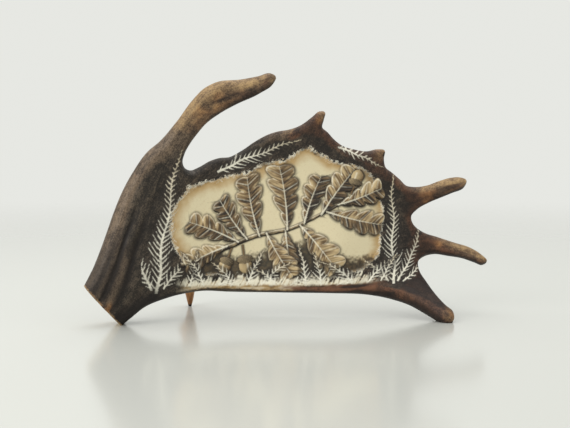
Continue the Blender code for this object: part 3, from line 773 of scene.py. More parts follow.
class Skin:
    """Points of both faces, the triangles that join them for each limb, and what grows on them."""

    def __init__(self, colours):
        self.lay_out()
        self.measure()
        self.raise_relief(colours)
        self.colour()

    def lay_out(self):
        """Points on the outline, the forks and both faces, and the triangles that join them."""
        ends, lines, forks = {}, {}, []
        at = len(EDGE)
        for name, corners in FORKS.items():
            ends[name] = [int(np.argmin(np.linalg.norm(EDGE - corner, axis=1))) for corner in corners]
            first, last = ends[name]
            steps = int(np.linalg.norm(EDGE[first] - EDGE[last]) / FORK_STEP)
            forks.append(between(EDGE[first], EDGE[last], (np.arange(1, steps) / steps)[:, None]))
            lines[name] = np.arange(at, at + steps - 1)
            at += steps - 1
        self.forks = np.concatenate(forks)
        self.borders = {limb: self.border(met, ends, lines) for limb, met in LIMB_FORKS.items()}
        depths = smoothed_depth(self.forks)
        self.rows = [np.column_stack([EDGE, np.zeros((len(EDGE), 2))])]
        for side in (1.0, -1.0):
            self.rows.append(np.column_stack([self.forks, np.full(len(depths), side), depths]))
        self.faces = {limb: [] for limb in self.borders}
        rings = rim_rings()
        for side in (1, -1):
            for limb in self.borders:
                self.add_face(limb, side, rings)
        rows = np.concatenate(self.rows)
        self.flat, self.side, self.depth = rows[:, :2], rows[:, 2], rows[:, 3]

    def border(self, met, ends, lines):
        """Numbers of the points round a limb: stretches of the outline, each followed by a fork line."""
        runs = []
        for (fork_before, way_before), (fork, way) in zip(met[-1:] + met, met):
            first = ends[fork_before][::way_before][1]
            last = ends[fork][::way][0]
            runs.append((first + np.arange((last - first) % len(EDGE) + 1)) % len(EDGE))
            runs.append(lines[fork][::way])
        return np.concatenate(runs)

    def add_face(self, limb, side, rings):
        """Points inside a limb's border on one face, and its triangles."""
        border = self.borders[limb]
        polygon = np.concatenate([EDGE, self.forks])[border]
        spacing = SPACINGS.get((limb, side), SPACING)
        grid = hex_grid(spacing)
        low, high = polygon.min(axis=0), polygon.max(axis=0)
        grid = grid[((grid > low) & (grid < high)).all(axis=1)]
        grid = grid[nearest(grid, EDGE) > RIM_RINGS[-1] + 0.5 * spacing]
        inner = np.concatenate([rings, np.column_stack([grid, np.full(len(grid), -1.0)])])
        inner = inner[((inner[:, :2] > low) & (inner[:, :2] < high)).all(axis=1)]
        clear = nearest(inner[:, :2], self.forks) > 0.45 * FORK_STEP
        inner = inner[clear & is_inside(inner[:, :2], polygon)]
        deep = inner[:, 2] < 0
        inner[deep, 2] = smoothed_depth(inner[deep, :2])
        points = [Vector(point) for point in np.concatenate([polygon, inner[:, :2]])]
        result = delaunay_2d_cdt(points, [], [list(range(len(polygon)))], 1, 1e-7)
        source = np.array([ids[0] for ids in result[3]])
        shift = 0 if side == 1 else len(self.forks)
        numbers = np.concatenate([np.where(border < len(EDGE), border, border + shift),
                                  sum(map(len, self.rows)) + np.arange(len(inner))])
        self.faces[limb].append(numbers[source[np.array(result[2])]][:, ::side])
        self.rows.append(np.column_stack([inner[:, :2], np.full(len(inner), float(side)), inner[:, 2]]))

    def measure(self):
        """Where each point lies on the body, what part it belongs to, and the streaks and lumps there."""
        flat = self.flat
        self.x, self.z = flat.T
        self.front = self.side >= 0
        self.middle, self.outward = middle_and_normal(flat)
        self.half, full = half_thickness(flat, self.depth)
        self.crown = np.clip(self.half / full, 0, 1)
        heading, self.off_line, self.gone = growth(flat)
        ahead = middle_and_normal(flat + heading)[0][:, 1]
        self.along = np.stack([heading[:, 0], ahead - self.middle[:, 1], heading[:, 1]], axis=1)
        solid = self.middle + self.outward * (self.side * self.half)[:, None]
        self.edge = nearest(flat, EDGE)
        reach = np.array([np.linalg.norm(flat - tip, axis=1) for tip in TIPS])
        self.tip, self.tine_tip = reach.min(axis=0), reach[3:].min(axis=0)
        self.outer = nearest(flat, smooth_path(BEAM_OUTER_EDGE + BROW_TINE_OUTER_EDGE, pieces=20))
        self.coarse = streaks(solid, self.along, size=5.0, reach=17.0, seed=5)
        self.fine = streaks(solid, self.along, size=2.2, reach=7.0, seed=31)
        self.vein = streaks(solid, self.along, size=13.0, reach=40.0, seed=53)
        self.lumps = cloud(solid, size=26.0, seed=47) - 0.5
        self.wander = GROOVE_WANDER * (noise(solid, size=40.0, seed=61) - 0.5)
        self.ragged = cloud(solid, size=9.0, seed=71) - 0.5
        self.beam = ramp(*BEAM_FADE, self.x) + ramp(178, 192, self.z) * ramp(-40, -70, self.x)
        self.beam = np.clip(self.beam, 0, 1)
        self.brow = ramp(190, 214, self.z) * ramp(-20, -60, self.x - 0.5 * self.z + 90)
        self.right = ramp(*RIGHT_FADE, self.x)
        self.low = ramp(*LOW_FADE, self.z)
        self.field = np.full(len(flat), FAR * 10)
        loop = smooth_loop(FIELD_OUTLINE, step=1.5)
        ahead = flat[self.front]
        self.field[self.front] = nearest(ahead, loop) * np.where(is_inside(ahead, loop), 1, -1)
        self.field += 7.0 * self.ragged + 9.0 * (noise(solid, size=24.0, seed=67) - 0.5)

    def raise_relief(self, colours):
        """Places of all points in space: half the thickness, plus the bark, and on the front the carving."""
        x, z, coarse, front, beam = self.x, self.z, self.coarse, self.front, self.beam
        bark = (0.5 + 0.5 * beam + 0.2 * self.right) * coarse + 0.16 * self.fine
        bark += LUMP_HEIGHT * self.lumps * (0.5 + 0.5 * beam + 0.5 * ~front)
        across = self.outer - self.wander
        self.furrow = np.zeros(len(x))
        for place, depth, width, top in GROOVES:
            groove = bell((across - place) / width) * ramp(top, top - 60, z)
            self.furrow += depth * groove * beam * (1.1 + coarse)
        place, width, top = GROOVE_RIDGE
        self.crest = bell((across - place) / width) * ramp(top, top - 40, z) * beam * front
        bark += CREST_HEIGHT * self.crest - self.furrow - BARK_SINK
        height, width = TINE_RIDGE
        bark += height * bell(self.off_line / width) * ramp(100, 120, x) * self.low * front
        not_brow = 1 - self.brow
        self.veins = ramp(0.07, 0.01, np.abs(self.vein)) * (1 - 0.8 * front) * not_brow
        self.veins *= ramp(30, 75, self.tip)
        self.back_ridge = bell(self.off_line / 13.0) * ramp(20, 90, self.gone) * ~front * not_brow
        bark += BACK_RIDGE_HEIGHT * self.back_ridge - VEIN_DEPTH * self.veins

        carved = front & (np.abs(x) < CARVED_REACH)
        work = Carving(self.flat[carved], colours, self.field[carved])
        work.carve()
        height, self.cover = np.zeros((2, len(x)))
        self.paint = np.zeros((len(x), 3))
        height[carved], self.cover[carved], self.paint[carved] = work.height, work.cover, work.paint
        height -= FIELD_DEPTH * ramp(-1.5, 6.0, self.field)
        relief = bark * (1 - 0.85 * ramp(-30, -6, self.field)) + height * (self.side > 0)
        swell = np.maximum(self.half + relief * np.clip(self.crown / 0.8, 0, 1), 0.0)
        self.place = to_metres(self.middle + self.outward * (self.side * swell)[:, None])
        self.place = np.clip(self.place, (*CAD_BOX[0][:2], -np.inf), CAD_BOX[1])
        self.find_normals()

    def find_normals(self):
        """Smooth normals of the whole body: each point's is the sum of its triangles' area vectors."""
        triangles = np.concatenate([part for parts in self.faces.values() for part in parts])
        a, b, c = (self.place[triangles[:, k]] for k in range(3))
        area = np.cross(b - a, c - a)
        normal = np.zeros_like(self.place)
        for k in range(3):
            for axis in range(3):
                normal[:, axis] += np.bincount(triangles[:, k], area[:, axis], len(normal))
        self.normal = unit(normal)

    def colour(self):
        """Works out the values that the materials read: stain, dark, tan, red and orange, each 0 to 1."""
        x, z, tip, beam, brow, right = self.x, self.z, self.tip, self.beam, self.brow, self.right
        coarse, fine, lumps, low, high = self.coarse, self.fine, self.lumps, self.low, 1 - self.low
        crest, front, outer = self.crest, self.front, self.outer
        # How far the skin faces up: it sets the painted shade below and the painted highlight above
        up = self.normal[:, 2]
        inner = outer + 10 * coarse + 8 * lumps
        # The right tines' ridge: rubbed horn with a painted highlight, so it stays lighter and turns orange
        ridge = ramp(3.6, 0.5, self.off_line + 2.5 * coarse) * ramp(92, 112, x)

        # Stain: the hollow side of the beam and the margin round the field, not the tines
        stain = ramp(14, 30, inner) * ramp(216, 176, z + 12 * lumps) * ramp(20, -20, x)
        stain *= (1 - 0.45 * crest) * (1 - beam * np.clip(0.2 - 0.7 * coarse, 0, 1))
        margin = ramp(-60, -36, self.field + 12 * self.ragged)
        margin *= ramp(2, 12, self.edge + 6 * coarse + 6 * ramp(80, 40, z))
        stain = np.maximum(stain, margin) * ramp(16, 34, tip + 8 * coarse) * (1 - 0.85 * ridge * low)
        stain *= ramp(150, 118, x - 26 * ramp(60, 25, z) + 16 * coarse + 14 * self.ragged) * front

        # Dark: painted shade on undersides and where the palm's rim turns down; roots of the tines, grooves,
        # veins and the heel
        ridge *= 0.45 + 0.55 * ramp(-0.3, 0.25, coarse + 0.8 * lumps)
        palm = ramp(-116, -96, x) * ramp(132, 112, x) * ramp(-84, -64, x - 2 * (z - 165))
        rim = palm * ramp(4.5, 0.5, self.edge + 3 * fine)
        top_tine = ramp(96, 116, z)
        # Tines: the lower one's own dark brown, painted shade under the middle and upper ones, and darker roots
        tines = right * largest(
            low * (0.78 + 0.4 * coarse) * ramp(1, 14, tip),
            high * (ramp(112, 96, z) * (0.02 + 0.4 * ramp(40, 60, tip))
                    + 0.3 * ramp(0.1, -0.3, up) * ramp(4, 16, tip)),
            top_tine * 0.55 * ramp(0.35, -0.2, up) * ramp(3, 12, tip),
            top_tine * 0.66 * ramp(20, 68, tip + 10 * coarse))
        small_points = 0.5 * ramp(44, 30, tip) * ramp(4, 12, tip) * ramp(-4, 10, x) * (1 - right)
        beam_low = ramp(122, 62, z) * (1 - 0.4 * ramp(45, 12, z)) * beam
        heel = z - 0.45 * (x + 171) + 8 * coarse
        dark = largest(
            # Painted shade where the skin faces down
            0.86 * ramp(-0.1, -0.85, up + 0.15 * brow + 0.3 * coarse + 0.5 * lumps),
            # Painted shade where the palm's rim turns down
            0.8 * rim * ramp(0.5, 0.0, up),
            largest(tines, small_points) * (1 - 0.8 * ridge * low) * (1 - self.cover),
            0.34 * self.furrow + 0.25 * crest + 0.6 * beam_low * ramp(36, 20, inner) * (1 - 0.6 * crest),
            (0.5 * self.veins + 0.25 * ramp(0.35, 0.0, self.back_ridge) * (1 - beam)) * ~front,
            beam * ramp(34, 14, heel) * ramp(20, 34, outer) * ramp(-126, -148, x))

        # Red brown towards the right, and as painted shade under the brow tine; orange on the lower tine's
        # ridge and in spots
        red = largest(right, 0.4 * (1 - beam), 0.75 * ramp(70, 30, tip) * ramp(-20, 10, x))
        red -= 0.5 * ramp(46, 26, tip) * right * high
        # Red brown as painted shade where the brow tine faces down
        red = largest(red, ramp(40, 90, x) * ramp(70, 45, z) * front, 0.5 * brow * ramp(0.4, -0.4, up),
                      0.6 * ramp(0.1, 0.35, lumps + 0.3 * coarse))
        spots = [strength * bell(np.hypot(x - spot_x, z - spot_z) / size)
                 for spot_x, spot_z, size, strength in ORANGE_SPOTS]
        spots = np.minimum(largest(*spots) * (0.55 + 0.9 * coarse) * (0.3 + 0.7 * front), 1)
        orange = np.maximum(0.42 * ridge * ramp(100, 40, tip), spots)

        # Tan: rubbed tips, the back's ridges, the worn edge of the saw cut, and painted highlight over the
        # rubbed upper sides
        point, outward = saw_plane()
        worn = ramp(2.6, 0.8, (point - self.place) @ outward / MM + 2.2 * fine) * ramp(-0.4, -0.2, coarse)
        near_tip = ramp(92, 8, self.tine_tip + 20 * coarse + 12 * lumps)
        near_tip *= 0.1 + 0.9 * top_tine + 0.8 * high * (1 - top_tine)
        tan = largest(
            # Painted highlight over rubbed tan where the brow tine faces up
            0.7 * brow * ramp(-1.05, 0.2, up + 0.3 * coarse + 0.8 * lumps) * ramp(2, 16, tip),
            # Painted highlight over rubbed tan where the tines face up near their tips
            right * ramp(-0.25, 0.5, up + 0.4 * coarse) * near_tip,
            0.5 * ramp(16, 1, tip + 5 * fine + 8 * coarse),
            # Painted highlight where the palm's rim faces up
            0.75 * rim * ramp(0.0, 0.6, up) * ramp(40, -10, x) * ramp(-0.3, 0.1, coarse),
            0.45 * np.exp(-((x - 100)**2 + (z - 178)**2) / 90),
            0.4 * self.back_ridge * (0.9 + coarse),
            0.9 * worn)
        self.values = {
            "streak": coarse + 0.5, "grain": fine + 0.5, "crown": self.crown, "field": self.field,
            "cover": self.cover, "stain": stain * (1 - 0.7 * spots) * (1 - worn),
            "dark": dark * (1 - 0.5 * spots) * (1 - worn), "tan": tan, "red": red, "orange": orange,
            "paint": self.paint, "skin_normal": self.normal, "along": self.along}

    def limb_mesh(self, name, limb):
        """One limb's mesh with its values. Walls across its forks are flat and use the second material."""
        triangles = np.concatenate(self.faces[limb])
        front = np.stack([self.borders[limb], np.roll(self.borders[limb], -1)], axis=1)
        front = front[(front >= len(EDGE)).any(axis=1)]
        back = np.where(front >= len(EDGE), front + len(self.forks), front)
        walls = np.column_stack([front, back[:, ::-1]])
        used = np.unique(np.concatenate([triangles.ravel(), walls.ravel()]))
        renamed = np.full(len(self.place), -1)
        renamed[used] = np.arange(len(used))
        walls = [list(dict.fromkeys(wall)) for wall in renamed[walls].tolist()]
        mesh = new_mesh(name, self.place[used], renamed[triangles].tolist() + walls)
        add_values(mesh, {key: value[used] for key, value in self.values.items()})
        is_wall = np.arange(len(mesh.polygons)) >= len(triangles)
        mesh.polygons.foreach_set("use_smooth", ~is_wall)
        mesh.polygons.foreach_set("material_index", is_wall.astype(np.int32))
        return mesh


def rim_loops(cut):
    """Loops of points round the holes that a cut left."""
    rim = dict.fromkeys(item for item in cut if isinstance(item, bmesh.types.BMEdge))
    while rim:
        edge = next(iter(rim))
        loop = list(edge.verts)
        while edge:
            rim.pop(edge, None)
            edge = next((item for item in loop[-1].link_edges if item in rim), None)
            if edge:
                loop.append(edge.other_vert(loop[-1]))
        if loop[-1] is loop[0]:
            loop.pop()
        if len(loop) > 2:
            yield loop


def cut_flat(mesh, point, normal, material, rings=0):
    """Saws off what lies beyond a plane and closes it: one flat face, or a cap of rings with saw marks.

    A mark's height is a sine of the place across the cut, swayed by a slower sine of the place along it.
    """
    point, normal = Vector(point), Vector(normal)
    body = bmesh.new()
    body.from_mesh(mesh)
    geometry = body.verts[:] + body.edges[:] + body.faces[:]
    cut = bmesh.ops.bisect_plane(body, geom=geometry, dist=1e-7, plane_co=point, plane_no=normal,
                                 clear_outer=True)
    crown = body.verts.layers.float.get("crown")
    across = normal.orthogonal().normalized()
    along = normal.cross(across)
    height, turns, sway, sway_turns = SAW_MARK
    caps = []
    for loop in rim_loops(cut["geom_cut"]):
        if rings == 0:
            caps.append(body.faces.new(loop))
            continue
        centre = sum((vert.co for vert in loop), Vector()) / len(loop)
        rows = [loop]
        for ring in range(1, rings):
            rows.append([])
            for vert in loop:
                place = centre + (vert.co - centre) * (1 - ring / rings)
                swayed = sway * math.sin(place.dot(along) / MM * sway_turns)
                mark = height * math.sin(place.dot(across) / MM * turns + swayed) * min(1.0, ring / 2)
                rows[-1].append(body.verts.new(place + normal * mark * MM))
                rows[-1][-1][crown] = ring / rings
        hub = body.verts.new(centre)
        hub[crown] = 1.0
        rows.append([hub] * len(loop))
        for outer, inner in zip(rows, rows[1:]):
            for k in range(len(loop)):
                corners = dict.fromkeys([outer[k - 1], outer[k], inner[k], inner[k - 1]])
                caps.append(body.faces.new(list(corners)))
    for face in caps:
        face.material_index = material
        face.smooth = False
    body.normal_update()
    bmesh.ops.reverse_faces(body, faces=[face for face in caps if face.normal.dot(normal) < 0])
    body.to_mesh(mesh)
    body.free()


def read_all(items, key, kind, width=1):
    """One property of all items in a mesh's list, with a row for each."""
    values = np.empty(len(items) * width, kind)
    items.foreach_get(key, values)
    return values.reshape(-1, width)


def set_normals(mesh):
    """Corners of smooth faces take the skin's own normal, so a fork shows no seam. Flat faces keep theirs."""
    sizes = read_all(mesh.polygons, "loop_total", np.int32)[:, 0]
    vertex = read_all(mesh.loops, "vertex_index", np.int32)[:, 0]
    smooth = np.repeat(read_all(mesh.polygons, "use_smooth", bool), sizes, axis=0)
    face_normal = np.repeat(read_all(mesh.polygons, "normal", np.float32, width=3), sizes, axis=0)
    skin_normal = read_all(mesh.attributes["skin_normal"].data, "vector", np.float32, width=3)[vertex]
    known = np.linalg.norm(skin_normal, axis=1, keepdims=True) > 0.5
    mesh.normals_split_custom_set(np.where(smooth & known, unit(skin_normal), face_normal).tolist())
    mesh.attributes.remove(mesh.attributes["skin_normal"])


def place_object(name, data):
    """Object at the origin that holds the data, in the scene."""
    thing = bpy.data.objects.new(name, data)
    bpy.context.scene.collection.objects.link(thing)
    return thing


def add_piece(mesh, node, slot, materials):
    """Object for a finished mesh, with its name: it rides on the antler's body and stands for its solid."""
    thing = place_object(mesh.name, mesh)
    for material in materials:
        mesh.materials.append(material)
    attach(thing, "root")
    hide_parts(node)


# Rear tine and floor

def ring_faces(rings, sides):
    """Four-sided faces between the rings of a grid of points that are listed ring by ring."""
    row, column = np.meshgrid(np.arange(rings - 1) * sides, np.arange(sides), indexing="ij")
    after = (column + 1) % sides
    corners = [row + column, row + after, row + sides + after, row + sides + column]
    return np.stack(corners, axis=-1).reshape(-1, 4)


def rear_tine_mesh():
    """Tube on a grid of (way along, angle): rings about a path whose last ones flare onto the palm's back."""
    sides = REAR_TINE_SIDES
    angle = np.arange(sides) * 2 * math.pi / sides
    circle = np.stack([np.cos(angle), -np.sin(angle)], axis=1)
    path = smooth_path(REAR_TINE_PATH, REAR_TINE_PIECES)
    centre, radius = path[:, None, :3], path[:, None, 3]
    heading = unit(np.gradient(path[:, :3], axis=0))
    heading[0] = (0, 0, 1)
    side = unit(np.array([1.0, 0.0, 0.0]) - heading * heading[:, :1])
    other = np.cross(heading, side)
    tube = centre + radius[..., None] * (circle[:, :1] * side[:, None] + circle[:, 1:] * other[:, None])
    height, reach, spread = REAR_TINE_KNOB
    lump = bell(np.hypot(tube[..., 2] - height, tube[..., 1] - centre[..., 1]) / spread / math.sqrt(2))
    tube[..., 0] -= reach * lump * np.clip((centre[..., 0] - tube[..., 0]) / radius, 0, 1)**1.5
    root = np.array(REAR_TINE_ROOT) + circle * REAR_TINE_ROOT_RADIUS
    middle, normal = middle_and_normal(root)
    half = half_thickness(root, smoothed_depth(root))[0]
    seat = middle - normal * (half - REAR_TINE_SINK)[:, None]
    share = np.linspace(0, 1, REAR_TINE_FLARE_RINGS)[1:, None, None]
    bulge = (tube[-1] - tube[-2]) * 2.0 * share * (1 - share) * (1 - share**1.5)
    rings = np.concatenate([tube, between(tube[-1], seat, share) + bulge])
    middles = rings.mean(axis=1)
    way = travelled(middles)
    gone = np.repeat(way, sides)
    points = rings.reshape(-1, 3)
    outward = unit(points - np.repeat(middles, sides, axis=0))
    along = unit(np.repeat(np.gradient(middles, axis=0), sides, axis=0))
    grain = streaks(points, along, size=2.4, reach=8.0, seed=83)
    ease = ramp(0.5, 6.0, gone) * ramp(way[-1], way[-1] - 6, gone)
    rise = 0.7 * streaks(points, along, size=5.0, reach=14.0, seed=87) + 0.25 * grain
    rise += 0.8 * (cloud(points, size=16.0, seed=91) - 0.5)
    points = points + outward * (rise * ease)[:, None]
    points[:, 2] = np.maximum(points[:, 2], 0.0)
    caps = [list(range(sides))[::-1], list(range(len(points) - sides, len(points)))]
    mesh = new_mesh("rear_tine_skin", to_metres(points), ring_faces(len(rings), sides).tolist() + caps)
    body = bmesh.new()
    body.from_mesh(mesh)
    bmesh.ops.recalc_face_normals(body, faces=body.faces[:])
    body.to_mesh(mesh)
    body.free()
    add_values(mesh, {"gone": gone, "grain": grain + 0.5})
    mesh.shade_smooth()
    return mesh


def floor_mesh(radius, rings=24, sides=96):
    """Flat disc on a polar grid, whose rings lie closer near the middle."""
    r, a = np.meshgrid(radius * (np.arange(1, rings + 1) / rings)**2, np.arange(sides) * 2 * math.pi / sides,
                       indexing="ij")
    points = np.stack([r * np.cos(a), r * np.sin(a), np.zeros_like(r)], axis=-1).reshape(-1, 3)
    return new_mesh("floor", points, ring_faces(rings, sides)[:, ::-1].tolist() + [list(range(sides))])


# Materials

class Graph:
    """Short names for the shader nodes that the finishes use."""

    def __init__(self, name):
        self.material = bpy.data.materials.new(name)
        self.material.use_nodes = True
        self.tree = self.material.node_tree
        self.shader = self.tree.nodes["Principled BSDF"]
        self.place = self.node("TexCoord", {}, "Object")

    def feed(self, socket, value):
        """Connects a socket to another, or sets its number or colour."""
        if isinstance(value, bpy.types.NodeSocket):
            self.tree.links.new(value, socket)
        else:
            socket.default_value = (*value, 1) if socket.type == "RGBA" else value

    def node(self, kind, inputs, output=0, **settings):
        """A new node's output, with its settings made and its inputs fed."""
        node = self.tree.nodes.new("ShaderNode" + kind)
        for name, value in settings.items():
            setattr(node, name, value)
        for name, value in inputs.items():
            self.feed(node.inputs[name], value)
        return node.outputs[output]

    def value(self, name, output="Fac"):
        """A value from the mesh's points."""
        return self.node("Attribute", {}, output, attribute_name=name)

    def noise(self, size, detail=3.0, distortion=0.0, place=None):
        """Noise whose grain is about the given size in millimetres."""
        return self.node("TexNoise", {"Vector": place or self.place, "Scale": 1000.0 / size, "Detail": detail,
                                      "Distortion": distortion}, "Fac")

    def smeared(self, size, step, taps=7):
        """Noise smeared along the growth: the mean of its values at places in a row along that direction."""
        along = self.value("along", "Vector")
        total = 0.0
        for k in range(taps):
            away = ((k - (taps - 1) / 2) * step * MM,) * 3
            place = self.node("VectorMath", {0: along, 1: away, 2: self.place}, operation="MULTIPLY_ADD")
            total = self.math("ADD", total, self.noise(size, detail=1.0, place=place))
        return self.times(total, 1 / taps)

    def math(self, operation, *values):
        """Arithmetic on values and numbers."""
        return self.node("Math", dict(enumerate(values)), operation=operation)

    def times(self, first, second):
        """Product of two values."""
        return self.math("MULTIPLY", first, second)

    def vary(self, base, *parts):
        """A base plus what each value is over one half, times its weight."""
        total = self.math("ADD", base, -0.5 * sum(weight for value, weight in parts))
        for value, weight in parts:
            total = self.math("MULTIPLY_ADD", value, weight, total)
        return total

    def span(self, value, low, high, start=0.0, end=1.0):
        """A value's range mapped onto another, with an S curve and clamped ends."""
        return self.node("MapRange", {0: value, 1: low, 2: high, 3: start, 4: end}, "Result",
                         interpolation_type="SMOOTHSTEP")

    def mix(self, share, first, second):
        """Mixture of two colours."""
        return self.node("Mix", {0: share, 6: first, 7: second}, 2, data_type="RGBA")

    def fade(self, value, low, high, first, second, most=1.0):
        """Mixture of two colours, whose second grows up to its most as a value goes from low to high."""
        return self.mix(self.span(value, low, high, 0.0, most), first, second)

    def finish(self, colour, roughness, height=None, depth=0.1, **settings):
        """Connects the shader and returns the material; depth is the bump's height in millimetres."""
        self.feed(self.shader.inputs["Base Color"], colour)
        self.feed(self.shader.inputs["Roughness"], roughness)
        for name, value in settings.items():
            self.feed(self.shader.inputs[name.replace("_", " ")], value)
        if height is not None:
            bump = self.node("Bump", {"Strength": 1.0, "Distance": depth * MM, "Height": height}, "Normal")
            self.feed(self.shader.inputs["Normal"], bump)
        return self.material


def named_colours(tints):
    """The colours of a property group as plain tuples."""
    return {name: tuple(getattr(tints, name)) for name in tints.__annotations__}


def antler_material(name, tints):
    """Antler finish: grey brown, red brown and tan skin, dark stain, the pale field, the carving's paint.

    Attributes on the mesh say where each lies, painted shade and painted highlight among them, and noise breaks
    their edges up.
    """
    graph = Graph(name)
    hair = graph.smeared(size=1.5, step=1.4)
    speckle = graph.noise(1.15)
    patch = graph.noise(15.0, distortion=0.4)
    blotch = graph.noise(4.6, detail=4.0, distortion=0.8)
    stipple = graph.noise(1.9, distortion=0.8)
    tone = graph.vary(0.45, (graph.value("streak"), 0.3), (graph.value("grain"), 0.22), (hair, 1.4),
                      (speckle, 1.15), (blotch, 0.7), (patch, 0.6))
    level = graph.span(tone, 0.05, 0.85)
    skin = graph.mix(level, tints["skin_dark"], tints["skin_light"])
    ruddy = graph.mix(level, tints["red_dark"], tints["red_light"])
    rubbed = graph.mix(level, tints["tip_brown"], tints["tip_tan"])
    polished = graph.mix(level, tints["orange_dark"], tints["orange_light"])
    # Red brown, partly painted shade where the brow tine faces down
    skin = graph.fade(graph.vary(graph.value("red"), (patch, 0.8)), 0.15, 0.85, skin, ruddy)
    # Rubbed tan, with the painted highlight on upper sides and along the palm's rim
    tan = graph.vary(graph.value("tan"), (patch, 0.32), (blotch, 0.4), (hair, 0.5))
    skin = graph.fade(tan, 0.12, 0.92, skin, rubbed)
    orange = graph.vary(graph.value("orange"), (patch, 0.64))
    skin = graph.fade(orange, 0.15, 1.0, skin, polished, most=0.75)

    charcoal = graph.fade(tone, 0.25, 0.95, tints["charcoal"], tints["charcoal_light"])
    stain = graph.vary(graph.value("stain"), (hair, 0.44))
    front = graph.fade(stain, 0.15, 0.8, skin, charcoal, most=0.94)

    field = graph.vary(graph.value("field"), (stipple, 11.0))
    depth = graph.vary(graph.value("field"), (patch, 12.0))
    ground = graph.fade(depth, 1.0, 17.0, tints["field_tan"], tints["field_cream"])
    ground = graph.fade(stipple, 0.5, 0.85, ground, tints["field_tan"], most=0.3)
    feather = graph.span(graph.noise(4.5), 0.35, 0.65, start=0.2, end=0.85)
    fringe = graph.times(graph.span(field, -1.0, 0.2), graph.span(field, 4.2, 0.8))
    front = graph.fade(field, 0.0, 1.2, front, ground)
    front = graph.mix(graph.times(fringe, feather), front, tints["fern"])
    front = graph.mix(graph.value("cover"), front, graph.value("paint", "Vector"))
    # Dark: painted shade on undersides and the palm's rim, and the darker tines, roots, grooves, veins and heel
    dark = graph.vary(graph.value("dark"), (hair, 0.5))
    front = graph.fade(dark, 0.1, 0.9, front, tints["edge_dark"], most=0.92)

    height = graph.vary(0.3, (hair, 1.4), (speckle, 0.6))
    roughness = graph.span(tone, 0.0, 0.9, start=0.66, end=0.48)
    return graph.finish(front, roughness, height, depth=0.14, Specular_IOR_Level=0.35)


def sawn_bone_material(tints):
    """Sawn bone: a dense pale ring round a spongy core with dark pores."""
    graph = Graph("sawn_bone")
    pores = graph.node("TexVoronoi", {"Vector": graph.place, "Scale": 1000.0 / 1.3}, "Distance")
    cloudy = graph.noise(5.0)
    sponge = graph.span(graph.vary(graph.value("crown"), (cloudy, 0.25)), 0.22, 0.4)
    hole = graph.times(graph.span(pores, 0.45, 0.15), sponge)
    bone = graph.mix(cloudy, tints["bone"], tints["field_tan"])
    bone = graph.mix(graph.times(sponge, 0.35), bone, tints["skin_light"])
    bone = graph.mix(graph.times(hole, 0.85), bone, tints["skin_dark"])
    height = graph.math("MULTIPLY_ADD", hole, -2.0, graph.noise(0.6, detail=2.0))
    return graph.finish(bone, 0.7, height, depth=0.25)


def rear_tine_material(tints):
    """Rear tine: brown at its root, polished orange brown towards the foot, dark at the very tip."""
    graph = Graph("rear_tine_finish")
    speckle = graph.noise(1.2)
    stretched = graph.node("Mapping", {"Vector": graph.place, "Scale": (1.0, 1.0, 0.35)})
    tone = graph.vary(0.575, (graph.noise(9.0, place=stretched), 0.7), (graph.value("grain"), 0.45))
    orange = graph.fade(tone, 0.3, 0.85, tints["orange_dark"], tints["orange_light"])
    level = graph.span(tone, 0.15, 1.0)
    brown = graph.mix(level, tints["skin_dark"], tints["skin_light"])
    brown = graph.mix(0.8, brown, graph.mix(level, tints["red_dark"], tints["tip_brown"]))
    gone = graph.value("gone")
    rubbed = graph.span(gone, 96.0, 40.0)
    colour = graph.fade(gone, 4.5, 1.0, graph.mix(rubbed, brown, orange), tints["red_dark"])
    height = graph.math("MULTIPLY_ADD", graph.noise(0.8), 0.5, speckle)
    roughness = graph.math("MULTIPLY_ADD", rubbed, -0.18, graph.span(tone, 0.3, 0.9, start=0.7, end=0.56))
    return graph.finish(colour, roughness, height, depth=0.12, Specular_IOR_Level=0.35)


def floor_material(colour):
    """Pale satin floor that fades away with distance, so no line shows where it meets the surround."""
    graph = Graph("pale_floor")
    cloudy = graph.times(graph.noise(420.0, detail=2.0), 0.12)
    shade = graph.mix(cloudy, colour, tuple(0.86 * c for c in colour))
    away = graph.node("VectorMath", {0: graph.place}, "Value", operation="LENGTH")
    return graph.finish(shade, FLOOR_ROUGHNESS, Alpha=graph.span(away, *FLOOR_FADE))


# Settings

def tint(name, description, colour):
    """Setting for a colour that is given as sRGB, 0 to 255."""
    return FloatVectorProperty(name=name, description=description, subtype="COLOR", size=3, min=0.0, max=1.0,
                               default=linear(*colour))


def amount(name, description, default, low=0.0, **kind):
    """Setting for a number that is at least low, with its unit or subtype."""
    return FloatProperty(name=name, description=description, default=default, min=low, **kind)


